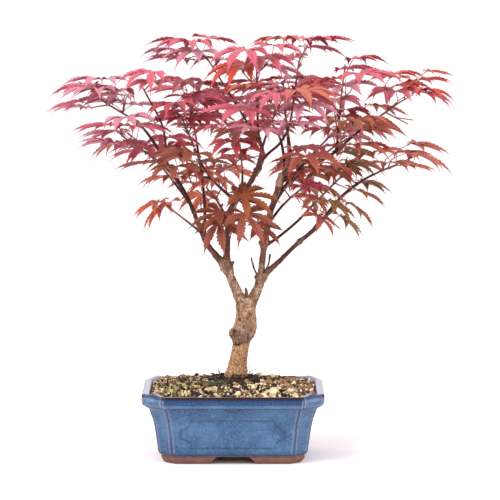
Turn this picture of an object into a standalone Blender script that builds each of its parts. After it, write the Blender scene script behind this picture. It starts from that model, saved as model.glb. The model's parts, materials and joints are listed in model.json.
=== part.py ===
# Japanese maple bonsai in a blue glazed pot, red and bronze leaves on a forked trunk.
# Sizes are in millimetres and become metres in the meshes. +Z is up and the front looks along -Y.
# X and Y are measured from the middle of the pot and Z from the surface that it stands on.

import math

import bmesh
import bpy
import numpy as np

METRE = 0.001
GAP = 0.3
GOLDEN_TURN = math.radians(137.5)
SHARP_ANGLE = math.radians(40.0)

# Pot: an oblong with cut corners, a heavy lip and unglazed feet
POT_WIDTH = 155.0
POT_DEPTH = 118.0
POT_HEIGHT = 60.0
POT_CORNER = 17.0
POT_CORNER_LOSS = 0.38
POT_EDGE_ROUND = 1.6
# Outer side from the feet to the rim: how far inside the lip, and the height
POT_SIDE = (
    (19.5, 0.0), (16.8, 3.3), (16.5, 7.3), (14.4, 9.3), (13.2, 17.2), (12.0, 26.3),
    (10.5, 35.3), (8.6, 41.3), (6.2, 46.5), (4.2, 48.3), (1.5, 51.6), (0.0, 59.0), (0.9, POT_HEIGHT),
)
# Inner side from the rim to the floor
POT_INSIDE = ((6.3, POT_HEIGHT), (7.4, 55.0), (13.0, 44.0), (18.0, 28.0), (20.5, 13.0))
FOOT_WALL = 9.0
FOOT_HEIGHT = 6.5
FRONT_ARCH = (40.0, 28.0)
SIDE_ARCH = (30.0, 20.0)

# Soil: a low mound with a level spot under the trunk
SOIL_EDGE = 57.6
SOIL_TOP = 66.7
SOIL_SPOT = (1.2, 0.0, 13.0)
SOIL_LUMP = 1.3
SOIL_STEP = 15.0
SOIL_RINGS = (0.10, 0.24, 0.38, 0.52, 0.66, 0.80)

# Trunk: height, centre in x, centre in y, half width in x, half width in y
TRUNK_STATIONS = (
    (SOIL_TOP + GAP, 1.2, 0.0, 10.0, 9.8),
    (70.0, 1.7, 0.0, 8.9, 8.7),
    (76.0, 3.0, 0.2, 7.9, 7.9),
    (84.0, 4.3, 0.4, 7.2, 7.4),
    (92.0, 5.6, 0.4, 6.9, 7.2),
    (98.0, 7.0, 0.2, 7.1, 7.3),
    (104.0, 9.0, -0.2, 7.9, 7.8),
    (110.0, 10.2, -0.6, 8.2, 7.9),
    (117.0, 11.0, -0.6, 7.8, 7.4),
    (125.0, 11.1, -0.2, 6.9, 6.8),
    (132.0, 11.6, 0.0, 7.8, 6.6),
    (136.0, 12.0, 0.0, 9.3, 6.4),
    (140.0, 12.0, 0.0, 10.2, 5.7),
)
TRUNK_SIDES = 14
ROOT_LOBES = 5
ROOT_LOBE_DEPTH = 0.10
KNOB = ((8.0, -1.0, 103.5), (-3.6, -2.0, 107.0), 4.6, 3.0)

# Leaf: lobes at these angles from the middle one, with their share of its length
LEAF_LENGTH = 34.0
LEAF_LOBES = ((-78.0, 0.66), (-38.0, 0.93), (0.0, 1.0), (38.0, 0.93), (78.0, 0.66))
LEAF_SINUS = 0.31
LEAF_HEEL = 0.10
LEAF_APART = 1.8
LEAF_TRIES = 10
LEAVES_MOST = 9
LEAF_THICKNESS = 0.040
LEAF_HALF_WIDTH = 0.11
LOBE_PULL = 0.12
LOBE_LIFT = 0.10
LOBE_DROOP = 0.42
STALK = 0.5
TWIG = (0.95, 0.60)
SHOOT_SHARES = (1.0, 0.75, 0.55)

# Boughs, each with the mass of leaves that it ends in.
# source: the bough it grows from and at what height, or the trunk and a point inside its top.
# thick: its radius at the root and in the heart of its mass.
# way: points that it passes, each with its radius there. heart: the middle of its mass.
# reach: half the size of the mass. shoots: how many twigs turn round its stem.
BOUGHS = (
    dict(name="far_left", source=("trunk", (8.9, 0.0, 133.5)), thick=(4.5, 0.8),
         way=((-1.8, -1.0, 154.3, 3.6), (-6.5, -2.0, 165.0, 3.7), (-22.6, 0.0, 183.4, 2.1),
              (-38.6, 4.0, 221.6, 1.7), (-60.8, 8.0, 258.4, 1.4), (-79.2, 8.0, 284.0, 1.0)),
         heart=(-108.0, 6.0, 303.0), reach=(62.0, 52.0, 32.0), shoots=5, seed=58),
    dict(name="far_right", source=("trunk", (15.4, 0.0, 133.5)), thick=(4.2, 0.8),
         way=((23.6, 0.0, 152.4, 3.2), (39.6, -1.0, 168.7, 2.0), (57.1, -2.0, 185.9, 1.7),
              (71.7, -2.0, 198.3, 1.7), (93.5, 2.0, 224.4, 1.3), (116.6, 4.0, 240.8, 1.0)),
         heart=(138.0, 6.0, 250.0), reach=(52.0, 50.0, 30.0), shoots=5, seed=31),
    dict(name="top_middle", source=("far_left", 163.5), thick=(2.8, 0.8),
         way=((-4.8, 4.0, 189.0, 2.7), (-0.9, 5.0, 214.7, 2.8), (12.2, 0.0, 232.0, 2.2),
              (25.2, -6.0, 258.4, 2.0), (21.5, -12.0, 278.0, 1.2)),
         heart=(20.0, -22.0, 331.0), reach=(50.0, 48.0, 32.0), shoots=5, seed=82),
    dict(name="heart_right", source=("far_right", 152.0), thick=(2.8, 0.8),
         way=((26.6, 5.0, 181.4, 2.6), (31.6, 8.0, 208.0, 2.6), (39.8, 10.0, 234.0, 2.4),
              (47.4, 12.0, 254.0, 1.9), (47.6, 16.0, 268.0, 1.6)),
         heart=(44.0, 30.0, 300.0), reach=(52.0, 48.0, 32.0), shoots=5, seed=44),
    dict(name="low_right", source=("heart_right", 181.5), thick=(1.4, 0.8),
         way=((36.0, 4.0, 186.6, 1.3), (55.0, 10.0, 201.6, 1.1), (69.0, 14.0, 216.0, 1.0)),
         heart=(93.0, 24.0, 239.0), reach=(56.0, 48.0, 30.0), shoots=5, seed=37),
    dict(name="high_right", source=("heart_right", 236.0), thick=(1.8, 0.8),
         way=((82.0, 2.0, 258.4, 1.3), (104.0, 0.0, 277.0, 1.1)),
         heart=(140.0, 4.0, 303.0), reach=(54.0, 50.0, 32.0), shoots=5, seed=33),
    dict(name="inner_left", source=("top_middle", 219.0), thick=(1.5, 0.8),
         way=((-23.0, -6.0, 246.0, 1.1),),
         heart=(-42.0, -18.0, 290.0), reach=(50.0, 48.0, 32.0), shoots=5, seed=5),
    dict(name="back_left", source=("far_left", 187.0), thick=(1.5, 0.8),
         way=((-25.6, 24.0, 226.0, 1.2),),
         heart=(-36.0, 66.0, 290.0), reach=(54.0, 50.0, 32.0), shoots=5, seed=19),
    dict(name="upper_left", source=("far_left", 252.0), thick=(1.1, 0.7),
         way=((-60.0, -2.0, 284.0, 0.9),),
         heart=(-76.0, -12.0, 317.0), reach=(48.0, 48.0, 30.0), shoots=5, seed=61),
    dict(name="left", source=("far_left", 234.0), thick=(1.2, 0.7),
         way=((-62.0, -14.0, 254.0, 0.9),),
         heart=(-92.0, -30.0, 277.0), reach=(56.0, 50.0, 30.0), shoots=5, seed=87),
    dict(name="left_back", source=("far_left", 218.0), thick=(1.3, 0.7),
         way=((-54.0, 22.0, 238.0, 1.0),),
         heart=(-76.0, 44.0, 262.0), reach=(52.0, 50.0, 30.0), shoots=5, seed=82),
    dict(name="low_left", source=("far_left", 193.0), thick=(1.2, 0.7),
         way=((-38.0, -12.0, 203.0, 0.9),),
         heart=(-48.0, -22.0, 212.0), reach=(42.0, 48.0, 30.0), shoots=5, seed=17),
    dict(name="low_front", source=("top_middle", 182.0), thick=(1.3, 0.7),
         way=((-2.0, -16.0, 194.0, 1.0),),
         heart=(2.0, -38.0, 203.0), reach=(52.0, 48.0, 32.0), shoots=5, seed=41),
    dict(name="front_left", source=("inner_left", 240.0), thick=(1.0, 0.7),
         way=((-33.0, -28.0, 244.0, 0.8),),
         heart=(-44.0, -50.0, 248.0), reach=(52.0, 50.0, 32.0), shoots=5, seed=41),
    dict(name="top_left", source=("top_middle", 268.0), thick=(1.1, 0.7),
         way=((4.0, 4.0, 300.0, 0.9),),
         heart=(-22.0, 12.0, 341.0), reach=(54.0, 50.0, 30.0), shoots=5, seed=68),
    dict(name="top_right", source=("top_middle", 256.0), thick=(1.3, 0.7),
         way=((46.0, -14.0, 281.0, 1.0),),
         heart=(56.0, 8.0, 338.0), reach=(48.0, 48.0, 30.0), shoots=5, seed=77),
    dict(name="upper_right", source=("high_right", 263.0), thick=(1.1, 0.7),
         way=((90.0, -8.0, 290.0, 0.9),),
         heart=(92.0, -14.0, 315.0), reach=(48.0, 48.0, 30.0), shoots=5, seed=31),
    dict(name="right", source=("high_right", 251.0), thick=(1.2, 0.7),
         way=((80.0, -18.0, 264.0, 0.9),),
         heart=(98.0, -36.0, 277.0), reach=(54.0, 50.0, 30.0), shoots=5, seed=4),
    dict(name="low_right_front", source=("far_right", 194.0), thick=(1.2, 0.7),
         way=((74.0, -16.0, 204.0, 0.9),),
         heart=(84.0, -28.0, 214.0), reach=(50.0, 48.0, 30.0), shoots=5, seed=59),
    dict(name="middle_right", source=("heart_right", 212.0), thick=(1.3, 0.7),
         way=((44.0, -16.0, 232.0, 0.9),),
         heart=(60.0, -44.0, 249.0), reach=(50.0, 48.0, 30.0), shoots=5, seed=79),
    dict(name="middle", source=("top_middle", 226.0), thick=(1.3, 0.7),
         way=((8.0, -24.0, 246.0, 0.9),),
         heart=(6.0, -50.0, 272.0), reach=(48.0, 48.0, 30.0), shoots=5, seed=19),
    dict(name="front", source=("top_middle", 244.0), thick=(1.3, 0.8),
         way=((27.0, -40.0, 276.0, 1.0),),
         heart=(34.0, -86.0, 298.0), reach=(54.0, 50.0, 32.0), shoots=5, seed=73),
    dict(name="back", source=("heart_right", 247.0), thick=(1.4, 0.8),
         way=((40.0, 44.0, 272.0, 1.1),),
         heart=(28.0, 88.0, 288.0), reach=(56.0, 50.0, 32.0), shoots=5, seed=9),
    dict(name="back_right", source=("heart_right", 222.0), thick=(1.4, 0.8),
         way=((62.0, 36.0, 250.0, 1.1),),
         heart=(92.0, 74.0, 278.0), reach=(54.0, 50.0, 32.0), shoots=5, seed=71),
    dict(name="back_low", source=("heart_right", 199.0), thick=(1.4, 0.8),
         way=((44.0, 38.0, 214.0, 1.1),),
         heart=(62.0, 72.0, 226.0), reach=(52.0, 50.0, 30.0), shoots=5, seed=36),
    dict(name="back_low_left", source=("top_middle", 198.0), thick=(1.4, 0.8),
         way=((-12.0, 34.0, 214.0, 1.1),),
         heart=(-24.0, 64.0, 226.0), reach=(52.0, 50.0, 30.0), shoots=5, seed=84),
)
PATH_STEP = 10.0
LEAST_BOUGH = 16.0
PAD_STRETCH = np.array((1.0, 1.0, 1.7))


def unit(vector):
    vector = np.asarray(vector, float)
    return vector / np.linalg.norm(vector)


def smooth_path(points, step):
    """Catmull-Rom curve through the points, read about every step."""
    points = np.asarray(points, float)
    ends = np.vstack((2 * points[0] - points[1], points, 2 * points[-1] - points[-2]))
    pieces = []
    for i in range(len(points) - 1):
        a, b, c, d = ends[i:i + 4]
        count = max(2, int(round(np.linalg.norm(c - b) / step)))
        t = np.arange(count)[:, None] / count
        pieces.append(0.5 * (2 * b + (c - a) * t + (2 * a - 5 * b + 4 * c - d) * t ** 2
                             + (3 * b - a - 3 * c + d) * t ** 3))
    return np.vstack(pieces + [points[-1:]])


def along(path):
    """Distance from the start of a path to each of its points."""
    return np.concatenate(([0.0], np.cumsum(np.linalg.norm(np.diff(path[:, :3], axis=0), axis=1))))


def at_distance(path, distance):
    """Points of a path, with their radii where it has them, at distances from its start."""
    run = along(path)
    return np.stack([np.interp(distance, run, column) for column in path.T], axis=-1)


def turned(vector, axis, angle):
    """A vector turned about an axis (Rodrigues' formula)."""
    return (vector * math.cos(angle) + np.cross(axis, vector) * math.sin(angle)
            + axis * np.dot(axis, vector) * (1 - math.cos(angle)))


def mass_space(index):
    """Half spaces that part a mass from each of the others, as normals and limits.
    Heights count more than widths, so that each mass is a flat pad of leaves."""
    hearts = np.array([row["heart"] for row in BOUGHS]) * PAD_STRETCH
    sizes = np.array([row["reach"][0] for row in BOUGHS])
    powers = np.sum(hearts ** 2, axis=1) - sizes ** 2
    normals = np.delete(hearts - hearts[index], index, axis=0) * PAD_STRETCH
    limits = (np.delete(powers, index) - powers[index]) / 2
    spans = np.linalg.norm(normals, axis=1)
    return normals / spans[:, None], limits / spans - GAP / 2


def in_space(points, row, space, margin):
    """Whether all the points are in the mass's oval and on its side of every half space."""
    points = np.atleast_2d(points)
    oval = np.sum(((points - row["heart"]) / (np.array(row["reach"]) - margin)) ** 2, axis=1)
    return oval.max() < 1.0 and (points @ space[0].T + margin < space[1]).all()


def limb_paths():
    """The whole way of each bough with its radii, from inside its source to its mass's heart."""
    paths = {}
    for row in BOUGHS:
        parent, place = row["source"]
        if parent != "trunk":
            way = paths[parent]
            place = tuple(np.interp(place, way[:, 2], way[:, k]) for k in range(3))
        root, end = row["thick"]
        points = (tuple(place) + (root,),) + row["way"] + (row["heart"] + (end,),)
        paths[row["name"]] = smooth_path(points, PATH_STEP)
    return paths


def entry_distance(row, path, space):
    """How far along its way a bough enters its mass for good."""
    run = along(path)
    stops = np.arange(LEAST_BOUGH, run[-1] - 4.0, 2.0)
    inside = [in_space(at_distance(path, stop)[:3], row, space, 2.0) for stop in stops]
    last_out = max([i for i, flag in enumerate(inside) if not flag], default=0)
    return stops[min(last_out + 1, len(stops) - 1)]


def leaf_frame(heading, pitch, roll):
    """Axes of a leaf: along its middle lobe, to its left and up from its face."""
    middle = np.array([math.cos(heading) * math.cos(pitch), math.sin(heading) * math.cos(pitch),
                       math.sin(pitch)])
    left = np.array([-math.sin(heading), math.cos(heading), 0.0])
    return np.stack((middle, turned(left, middle, roll), turned(np.cross(middle, left), middle, roll)))


def lobe_points(leaf, shares):
    """Points down the middle of every lobe: they rise a little, then droop to the tip."""
    rows = []
    for angle, length in LEAF_LOBES:
        turn = math.radians(angle)
        size = leaf["size"] * length
        out = size * shares * (1 - LOBE_PULL * shares ** 2)
        high = size * (LOBE_LIFT * shares - LOBE_DROOP * leaf["droop"] * shares ** 2)
        local = np.stack((out * math.cos(turn), out * math.sin(turn), high), axis=1)
        rows.append(leaf["base"] + local @ leaf["frame"])
    return np.array(rows)


def leaf_outline(leaf):
    """Corners round a leaf, from its right to its left: the tips and the hollows between them."""
    tips = lobe_points(leaf, np.array([1.0]))[:, 0]
    corners = []
    for i, (angle, _) in enumerate(LEAF_LOBES):
        corners.append(tips[i])
        if i + 1 < len(LEAF_LOBES):
            turn = math.radians((angle + LEAF_LOBES[i + 1][0]) / 2)
            reach = leaf["size"] * LEAF_SINUS
            local = np.array([reach * math.cos(turn), reach * math.sin(turn), 0.0])
            corners.append(leaf["base"] + local @ leaf["frame"])
    return np.array(corners)


def leaf_body(leaf):
    """Points that stand for a leaf when room is tested for it, along and beside its lobes."""
    middles = lobe_points(leaf, np.linspace(0.2, 1.0, 5))
    side = leaf["size"] * LEAF_HALF_WIDTH
    beside = []
    for i, (angle, _) in enumerate(LEAF_LOBES):
        turn = math.radians(angle + 90.0)
        offset = side * np.array([math.cos(turn), math.sin(turn), 0.0]) @ leaf["frame"]
        beside.append(middles[i, :4] + offset)
        beside.append(middles[i, :4] - offset)
    outline = leaf_outline(leaf)
    halfway = (outline + leaf["base"]) / 2
    return np.vstack((middles.reshape(-1, 3), np.vstack(beside), outline, halfway))


def clear_of(points, posts, spare):
    """Whether points keep clear of round posts, given as centres and radii."""
    centres, radii = posts
    away = np.linalg.norm(points[:, None] - centres[None], axis=2)
    return (away > radii + spare).all()


def limb_posts(paths, entries):
    """All limbs as closely set balls, so that distances to them are easy to test."""
    centres = []
    radii = []
    for name, path in paths.items():
        balls = at_distance(path, np.arange(0.0, entries[name], 2.0))
        centres.append(balls[:, :3])
        radii.append(balls[:, 3])
    stations = np.array(TRUNK_STATIONS)
    heights = np.arange(stations[0, 0], stations[-1, 0], 3.0)
    trunk = np.stack([np.interp(heights, stations[:, 0], stations[:, k]) for k in (1, 2, 3)], axis=1)
    centres.append(np.column_stack((trunk[:, :2], heights)))
    radii.append(trunk[:, 2])
    return np.vstack(centres), np.concatenate(radii)


def balls_along(path, step):
    """A path as closely set balls: their centres and radii."""
    balls = at_distance(path, np.arange(0.0, along(path)[-1], step))
    return balls[:, :3], balls[:, 3]


def shoot_fits(start, way, length, row, space, limbs):
    """Whether a shoot of this length stays in its mass's space and clear of the limbs."""
    line = start + way * np.linspace(0.3, 1.0, 5)[:, None] * length
    return in_space(line, row, space, 1.2) and clear_of(line, limbs, 1.4)


def grow_shoots(row, stem, space, limbs, draw):
    """Shoots that turn round the stem by the golden angle, the first one at its end. One that
    would leave the mass's space is cut back, and skipped if even its shortest form does."""
    aim = unit(stem[-1, :3] - stem[0, :3])
    side = unit(np.cross(aim, (0.3, 0.2, 1.0)))
    first_turn = draw.uniform(0.0, 2 * math.pi)
    shoots = []
    for k in range(row["shoots"]):
        turn = first_turn + k * GOLDEN_TURN + draw.uniform(-0.4, 0.4)
        share = draw.uniform(0.35, 0.95) if k else 1.0
        start = at_distance(stem, share * along(stem)[-1])[:3]
        out = turned(side, aim, turn) * (1.0 if k else 0.3)
        way = unit(aim * draw.uniform(0.1, 0.7) + out + (0.0, 0.0, 0.3))
        reach = draw.uniform(10.0, 26.0)
        length = next((reach * share for share in SHOOT_SHARES
                       if shoot_fits(start, way, reach * share, row, space, limbs)), None)
        if length:
            shoots.append(np.column_stack(((start, start + way * length), TWIG)))
    return shoots


def grow_leaf(shoot, share, hand, turn, draw):
    """A leaf on a stalk to one side of a shoot, facing outwards, tilted and drooping by chance."""
    start, tip = shoot[:, :3]
    way = unit(tip - start)
    node = start + (tip - start) * share
    across = unit(np.cross(way, (0.2, 0.1, 1.0)))
    across = turned(across, way, turn + draw.uniform(-0.5, 0.5))
    rise = draw.uniform(0.1, 0.7)
    lean = unit(across * hand + way * draw.uniform(0.2, 1.0) + (0.0, 0.0, rise))
    shrink = draw.uniform(0.82, 1.15)
    base = node + lean * draw.uniform(10.0, 26.0)
    heading = math.atan2(lean[1], lean[0]) + draw.uniform(-0.5, 0.5)
    frame = leaf_frame(heading, draw.uniform(-0.45, 0.20), draw.uniform(-0.30, 0.30))
    return dict(base=base, frame=frame, size=LEAF_LENGTH * shrink, droop=draw.uniform(0.6, 1.4),
                node=node, tint=draw.uniform())


def leaf_fits(leaf, others, row, space, limbs, twigs):
    """A leaf is kept if it and its stalk have room and it lies across nothing kept before."""
    if not in_space(leaf_outline(leaf), row, space, 0.6):
        return False
    body = leaf_body(leaf)
    stalk = leaf["node"] + (leaf["base"] - leaf["node"]) * np.linspace(0.0, 1.0, 6)[:, None]
    if not (in_space(body, row, space, 0.6) and in_space(stalk, row, space, 1.2)):
        return False
    if not (clear_of(body, limbs, 1.0) and clear_of(stalk, limbs, 1.0) and clear_of(body, twigs, 0.8)):
        return False
    leaf["body"] = np.vstack((body, stalk[3:]))
    for other in others:
        away = np.linalg.norm(leaf["body"][:, None] - other["body"][None], axis=2)
        if away.min() < LEAF_APART:
            return False
    return True


def grow_mass(row, path, entry, space, posts, most):
    """Twigs and leaves of one mass. Leaves come in pairs, first at the shoots' tips and then
    further back, each with a few tries; one that finds no room is skipped."""
    draw = np.random.RandomState(row["seed"])
    stem = at_distance(path, np.linspace(entry + GAP, along(path)[-1], 4))
    near = np.linalg.norm(posts[0] - row["heart"], axis=1) < 2 * row["reach"][0]
    limbs = (posts[0][near], posts[1][near])
    shoots = grow_shoots(row, stem, space, limbs, draw)
    balls = [balls_along(twig, 2.5) for twig in [stem] + shoots]
    twigs = tuple(np.concatenate(column) for column in zip(*balls))
    leaves = []
    bearing = set()
    for j, share in enumerate((1.0, 0.5, 0.05)):
        for k, shoot in enumerate(shoots):
            for hand in (1.0, -1.0):
                for _ in range(LEAF_TRIES):
                    leaf = grow_leaf(shoot, share, hand, j * math.pi / 2, draw)
                    if len(leaves) < most and leaf_fits(leaf, leaves, row, space, limbs, twigs):
                        leaves.append(leaf)
                        bearing.add(k)
                        break
    return [stem] + [shoots[k] for k in sorted(bearing)], leaves


def carried_frames(path):
    """Two directions square to a path at each of its points, carried along without twist."""
    heads = np.gradient(path[:, :3], axis=0)
    heads = heads / np.linalg.norm(heads, axis=1)[:, None]
    side = unit(np.cross(heads[0], (0.31, 0.87, 0.12)))
    sides = []
    for head in heads:
        side = unit(side - head * np.dot(side, head))
        sides.append(side)
    sides = np.array(sides)
    return sides, np.cross(heads, sides)


def tube_rings(path, sides, swell=0.0):
    """Rings round a path at its radii, each a little larger where swell asks for it."""
    across, over = carried_frames(path)
    turn = np.arange(sides) * 2 * math.pi / sides
    radii = (path[:, 3:4] + swell / math.cos(math.pi / sides))[:, :, None]
    ring = across[:, None] * np.cos(turn)[:, None] + over[:, None] * np.sin(turn)[:, None]
    return path[:, None, :3] + ring * radii


def loft(rings):
    """A closed body through rings of like count, with a flat face at each end."""
    rings = np.asarray(rings)
    rows, count = rings.shape[:2]
    faces = []
    for i in range(rows - 1):
        for j in range(count):
            k = (j + 1) % count
            faces.append((i * count + j, i * count + k, (i + 1) * count + k, (i + 1) * count + j))
    faces.append(tuple(range(count))[::-1])
    faces.append(tuple((rows - 1) * count + j for j in range(count)))
    return rings.reshape(-1, 3), faces


def shade(mesh):
    """Smooth shading with sharp edges kept, as on all rounded parts of the plant."""
    mesh.shade_smooth()
    mesh.set_sharp_from_angle(angle=SHARP_ANGLE)


def make_object(name, points, faces, origin, material=None):
    """An object with its own origin, from points in the plant's frame, faces pointing out."""
    mesh = bpy.data.meshes.new(name)
    points = (np.asarray(points) - origin) * METRE
    mesh.from_pydata([tuple(point) for point in points], [], faces)
    work = bmesh.new()
    work.from_mesh(mesh)
    bmesh.ops.recalc_face_normals(work, faces=work.faces)
    work.to_mesh(mesh)
    work.free()
    shade(mesh)
    if material:
        mesh.materials.append(material)
    item = bpy.data.objects.new(name, mesh)
    item.location = np.asarray(origin) * METRE
    item.parent = plant_root
    bpy.context.scene.collection.objects.link(item)
    return item


def plain_material(name, colour, roughness):
    """Principled material of one colour."""
    material = bpy.data.materials.new(name)
    material.use_nodes = True
    shader = material.node_tree.nodes["Principled BSDF"]
    shader.inputs["Base Color"].default_value = (*colour, 1.0)
    shader.inputs["Roughness"].default_value = roughness
    shader.inputs["Metallic"].default_value = 0.0
    return material


def as_cutter(item):
    """A body that only cuts others."""
    item.hide_render = True
    item.display_type = "WIRE"
    return item


def cut(item, cutter):
    """Takes a cutter's shape out of an object."""
    modifier = item.modifiers.new("cut", "BOOLEAN")
    modifier.operation = "DIFFERENCE"
    modifier.solver = "EXACT"
    modifier.object = cutter


def fuse(item, others, solver="EXACT"):
    """Joins overlapping bodies into the item by one union, and keeps its largest body."""
    parts = bpy.data.collections.new(item.name + "_parts")
    bpy.context.scene.collection.children.link(parts)
    for other in others:
        bpy.context.scene.collection.objects.unlink(other)
        parts.objects.link(other)
    modifier = item.modifiers.new("fuse", "BOOLEAN")
    modifier.operation = "UNION"
    modifier.solver = solver
    modifier.operand_type = "COLLECTION"
    modifier.collection = parts
    bpy.context.view_layer.update()
    whole = item.evaluated_get(bpy.context.evaluated_depsgraph_get())
    mesh = bpy.data.meshes.new_from_object(whole)
    item.modifiers.clear()
    old = item.data
    item.data = mesh
    bpy.data.meshes.remove(old)
    for other in others:
        shape = other.data
        bpy.data.objects.remove(other)
        bpy.data.meshes.remove(shape)
    bpy.data.collections.remove(parts)
    keep_largest(item.data)
    shade(item.data)


def keep_largest(mesh):
    """Drops scrap and sealed hollows: only the body with the most faces stays."""
    work = bmesh.new()
    work.from_mesh(mesh)
    bmesh.ops.triangulate(work, faces=work.faces)
    bmesh.ops.dissolve_degenerate(work, dist=1e-7, edges=work.edges)
    left = set(work.faces)
    bodies = []
    while left:
        queue = [left.pop()]
        body = list(queue)
        while queue:
            for edge in queue.pop().edges:
                for face in edge.link_faces:
                    if face in left:
                        left.remove(face)
                        queue.append(face)
                        body.append(face)
        bodies.append(body)
    bodies.sort(key=len)
    for body in bodies[:-1]:
        bmesh.ops.delete(work, geom=body, context="FACES")
    loose = [vertex for vertex in work.verts if not vertex.link_faces]
    bmesh.ops.delete(work, geom=loose, context="VERTS")
    work.to_mesh(mesh)
    work.free()


def corner_outline(inset, round_by=POT_EDGE_ROUND):
    """Outline of the pot at an inset from its lip: an oblong with cut, softened corners."""
    a = POT_WIDTH / 2 - inset
    b = POT_DEPTH / 2 - inset
    c = POT_CORNER - POT_CORNER_LOSS * inset
    corners = np.array(((a, -b + c), (a, b - c), (a - c, b), (-a + c, b),
                        (-a, b - c), (-a, -b + c), (-a + c, -b), (a - c, -b)))
    points = []
    for i, corner in enumerate(corners):
        before = unit(corners[i - 1] - corner)
        after = unit(corners[(i + 1) % 8] - corner)
        points.append(corner + before * round_by)
        points.append(corner + after * round_by)
    return np.array(points)


def outline_ring(inset, height):
    outline = corner_outline(inset)
    return np.column_stack((outline, np.full(len(outline), height)))


def arch_cutter(name, widths, depth, along_x):
    """A prism with sloping sides that opens the foot wall under the pot."""
    wide, narrow = widths
    profile = ((-wide / 2 - 0.3, -0.5), (wide / 2 + 0.3, -0.5), (narrow / 2, FOOT_HEIGHT),
               (-narrow / 2, FOOT_HEIGHT))
    rings = []
    for end in (-depth, depth):
        rings.append([(end, -u, v) if along_x else (u, end, v) for u, v in profile])
    return as_cutter(make_object(name, *loft(rings), (0.0, 0.0, 0.0)))


def build_pot():
    """Pot: glazed body, thick lip, hollow inside, and a foot wall with an arch in each side."""
    rings = [outline_ring(inset, height) for inset, height in POT_SIDE + POT_INSIDE]
    glaze = plain_material("blue_glaze", (0.045, 0.135, 0.33), 0.25)
    pot = make_object("pot", *loft(rings), (0.0, 0.0, 0.0), glaze)
    inner = POT_SIDE[0][0] + FOOT_WALL
    under = [outline_ring(inner, -0.5), outline_ring(inner + 2.0, FOOT_HEIGHT)]
    cut(pot, as_cutter(make_object("cutter_under", *loft(under), (0.0, 0.0, 0.0))))
    cut(pot, arch_cutter("cutter_front_arch", FRONT_ARCH, POT_DEPTH, False))
    cut(pot, arch_cutter("cutter_side_arch", SIDE_ARCH, POT_WIDTH, True))


def divided(ring, counts):
    """A ring with each of its sides cut into equal parts."""
    pieces = []
    for start, end, count in zip(ring, np.roll(ring, -1, axis=0), counts):
        pieces.append(start + (end - start) * np.arange(count)[:, None] / count)
    return np.vstack(pieces)


def build_soil():
    """Soil: fills the pot 0.3 mm clear of it and rises in a lumpy mound to the level spot."""
    rings = []
    floor = POT_INSIDE[-1]
    lip = outline_ring(0.0, POT_HEIGHT)
    lengths = np.linalg.norm(np.roll(lip, -1, axis=0) - lip, axis=1)
    counts = np.maximum(1, np.rint(lengths / SOIL_STEP)).astype(int)
    for inset, height in POT_INSIDE[:0:-1]:
        lift = GAP if (inset, height) == floor else 0.0
        rings.append(divided(outline_ring(inset + GAP * 1.2, height + lift), counts))
    edge_inset = np.interp(SOIL_EDGE, (POT_INSIDE[1][1], POT_HEIGHT), (POT_INSIDE[1][0], POT_INSIDE[0][0]))
    edge = divided(outline_ring(edge_inset + GAP * 1.2, SOIL_EDGE), counts)
    rings.append(edge)
    x, y, spot = SOIL_SPOT
    turn = np.arctan2(edge[:, 1] / POT_DEPTH, edge[:, 0] / POT_WIDTH)
    level = np.column_stack((x + spot * np.cos(turn), y + spot * np.sin(turn), np.full(len(turn), SOIL_TOP)))
    draw = np.random.RandomState(7)
    for share in SOIL_RINGS:
        ring = edge + (level - edge) * share
        ring[:, 2] = SOIL_EDGE + (SOIL_TOP - SOIL_EDGE) * share ** 0.8
        ring[:, 2] += draw.uniform(-SOIL_LUMP, SOIL_LUMP, len(ring))
        rings.append(ring)
    rings.append(level)
    earth = plain_material("gritty_soil", (0.20, 0.14, 0.08), 0.95)
    make_object("soil", *loft(rings), (0.0, 0.0, floor[1] + GAP), earth)


def trunk_rings(swell=0.0):
    """Oval rings at the trunk's stations, lobed where the roots flare."""
    turn = np.arange(TRUNK_SIDES) * 2 * math.pi / TRUNK_SIDES
    rings = []
    for height, x, y, wide, deep in TRUNK_STATIONS:
        flare = ROOT_LOBE_DEPTH * max(0.0, 1 - (height - SOIL_TOP) / 12.0)
        lobes = 1 + flare * np.cos(ROOT_LOBES * turn + 0.6)
        rings.append(np.column_stack((x + (wide * lobes + swell) * np.cos(turn),
                                      y + (deep * lobes + swell) * np.sin(turn),
                                      np.full(TRUNK_SIDES, height))))
    rings[-1][:, 2] += swell
    return rings


def build_trunk():
    """Trunk from its flat foot on the soil to its fork, with the knob of an old cut."""
    bark = plain_material("maple_bark", (0.36, 0.24, 0.13), 0.85)
    foot = TRUNK_STATIONS[0]
    origin = (foot[1], foot[2], foot[0])
    trunk = make_object("trunk", *loft(trunk_rings()), origin, bark)
    start, end, root, tip = KNOB
    path = np.column_stack((np.linspace(start, end, 3), (root, root, tip)))
    fuse(trunk, [make_object("knob", *loft(tube_rings(path, 8)), start)])
    return as_cutter(make_object("cutter_trunk", *loft(trunk_rings(GAP * 1.15)), origin))


def bough_sides(radius):
    return 9 if radius > 3.5 else 8 if radius > 2.0 else 6 if radius > 1.45 else 5


def build_boughs(paths, entries, trunk_cutter):
    """Boughs: tapering limbs, each cut 0.3 mm clear of what it grows from."""
    cutters = {"trunk": trunk_cutter}
    sources = {row["source"][0] for row in BOUGHS}
    for row in BOUGHS:
        name = row["name"]
        root = row["thick"][0]
        end = entries[name]
        run = along(paths[name])
        stops = np.append(run[run < end - PATH_STEP / 2], end)
        path = at_distance(paths[name], stops)
        bark = plain_material("bark_" + name, (0.16, 0.09, 0.06) if root < 2 else (0.30, 0.20, 0.12), 0.8)
        bough = make_object("bough_" + name, *loft(tube_rings(path, bough_sides(root))), path[0, :3], bark)
        cut(bough, cutters[row["source"][0]])
        if name in sources:
            shape = loft(tube_rings(path, bough_sides(root), GAP))
            cutters[name] = as_cutter(make_object("cutter_" + name, *shape, path[0, :3]))


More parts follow.
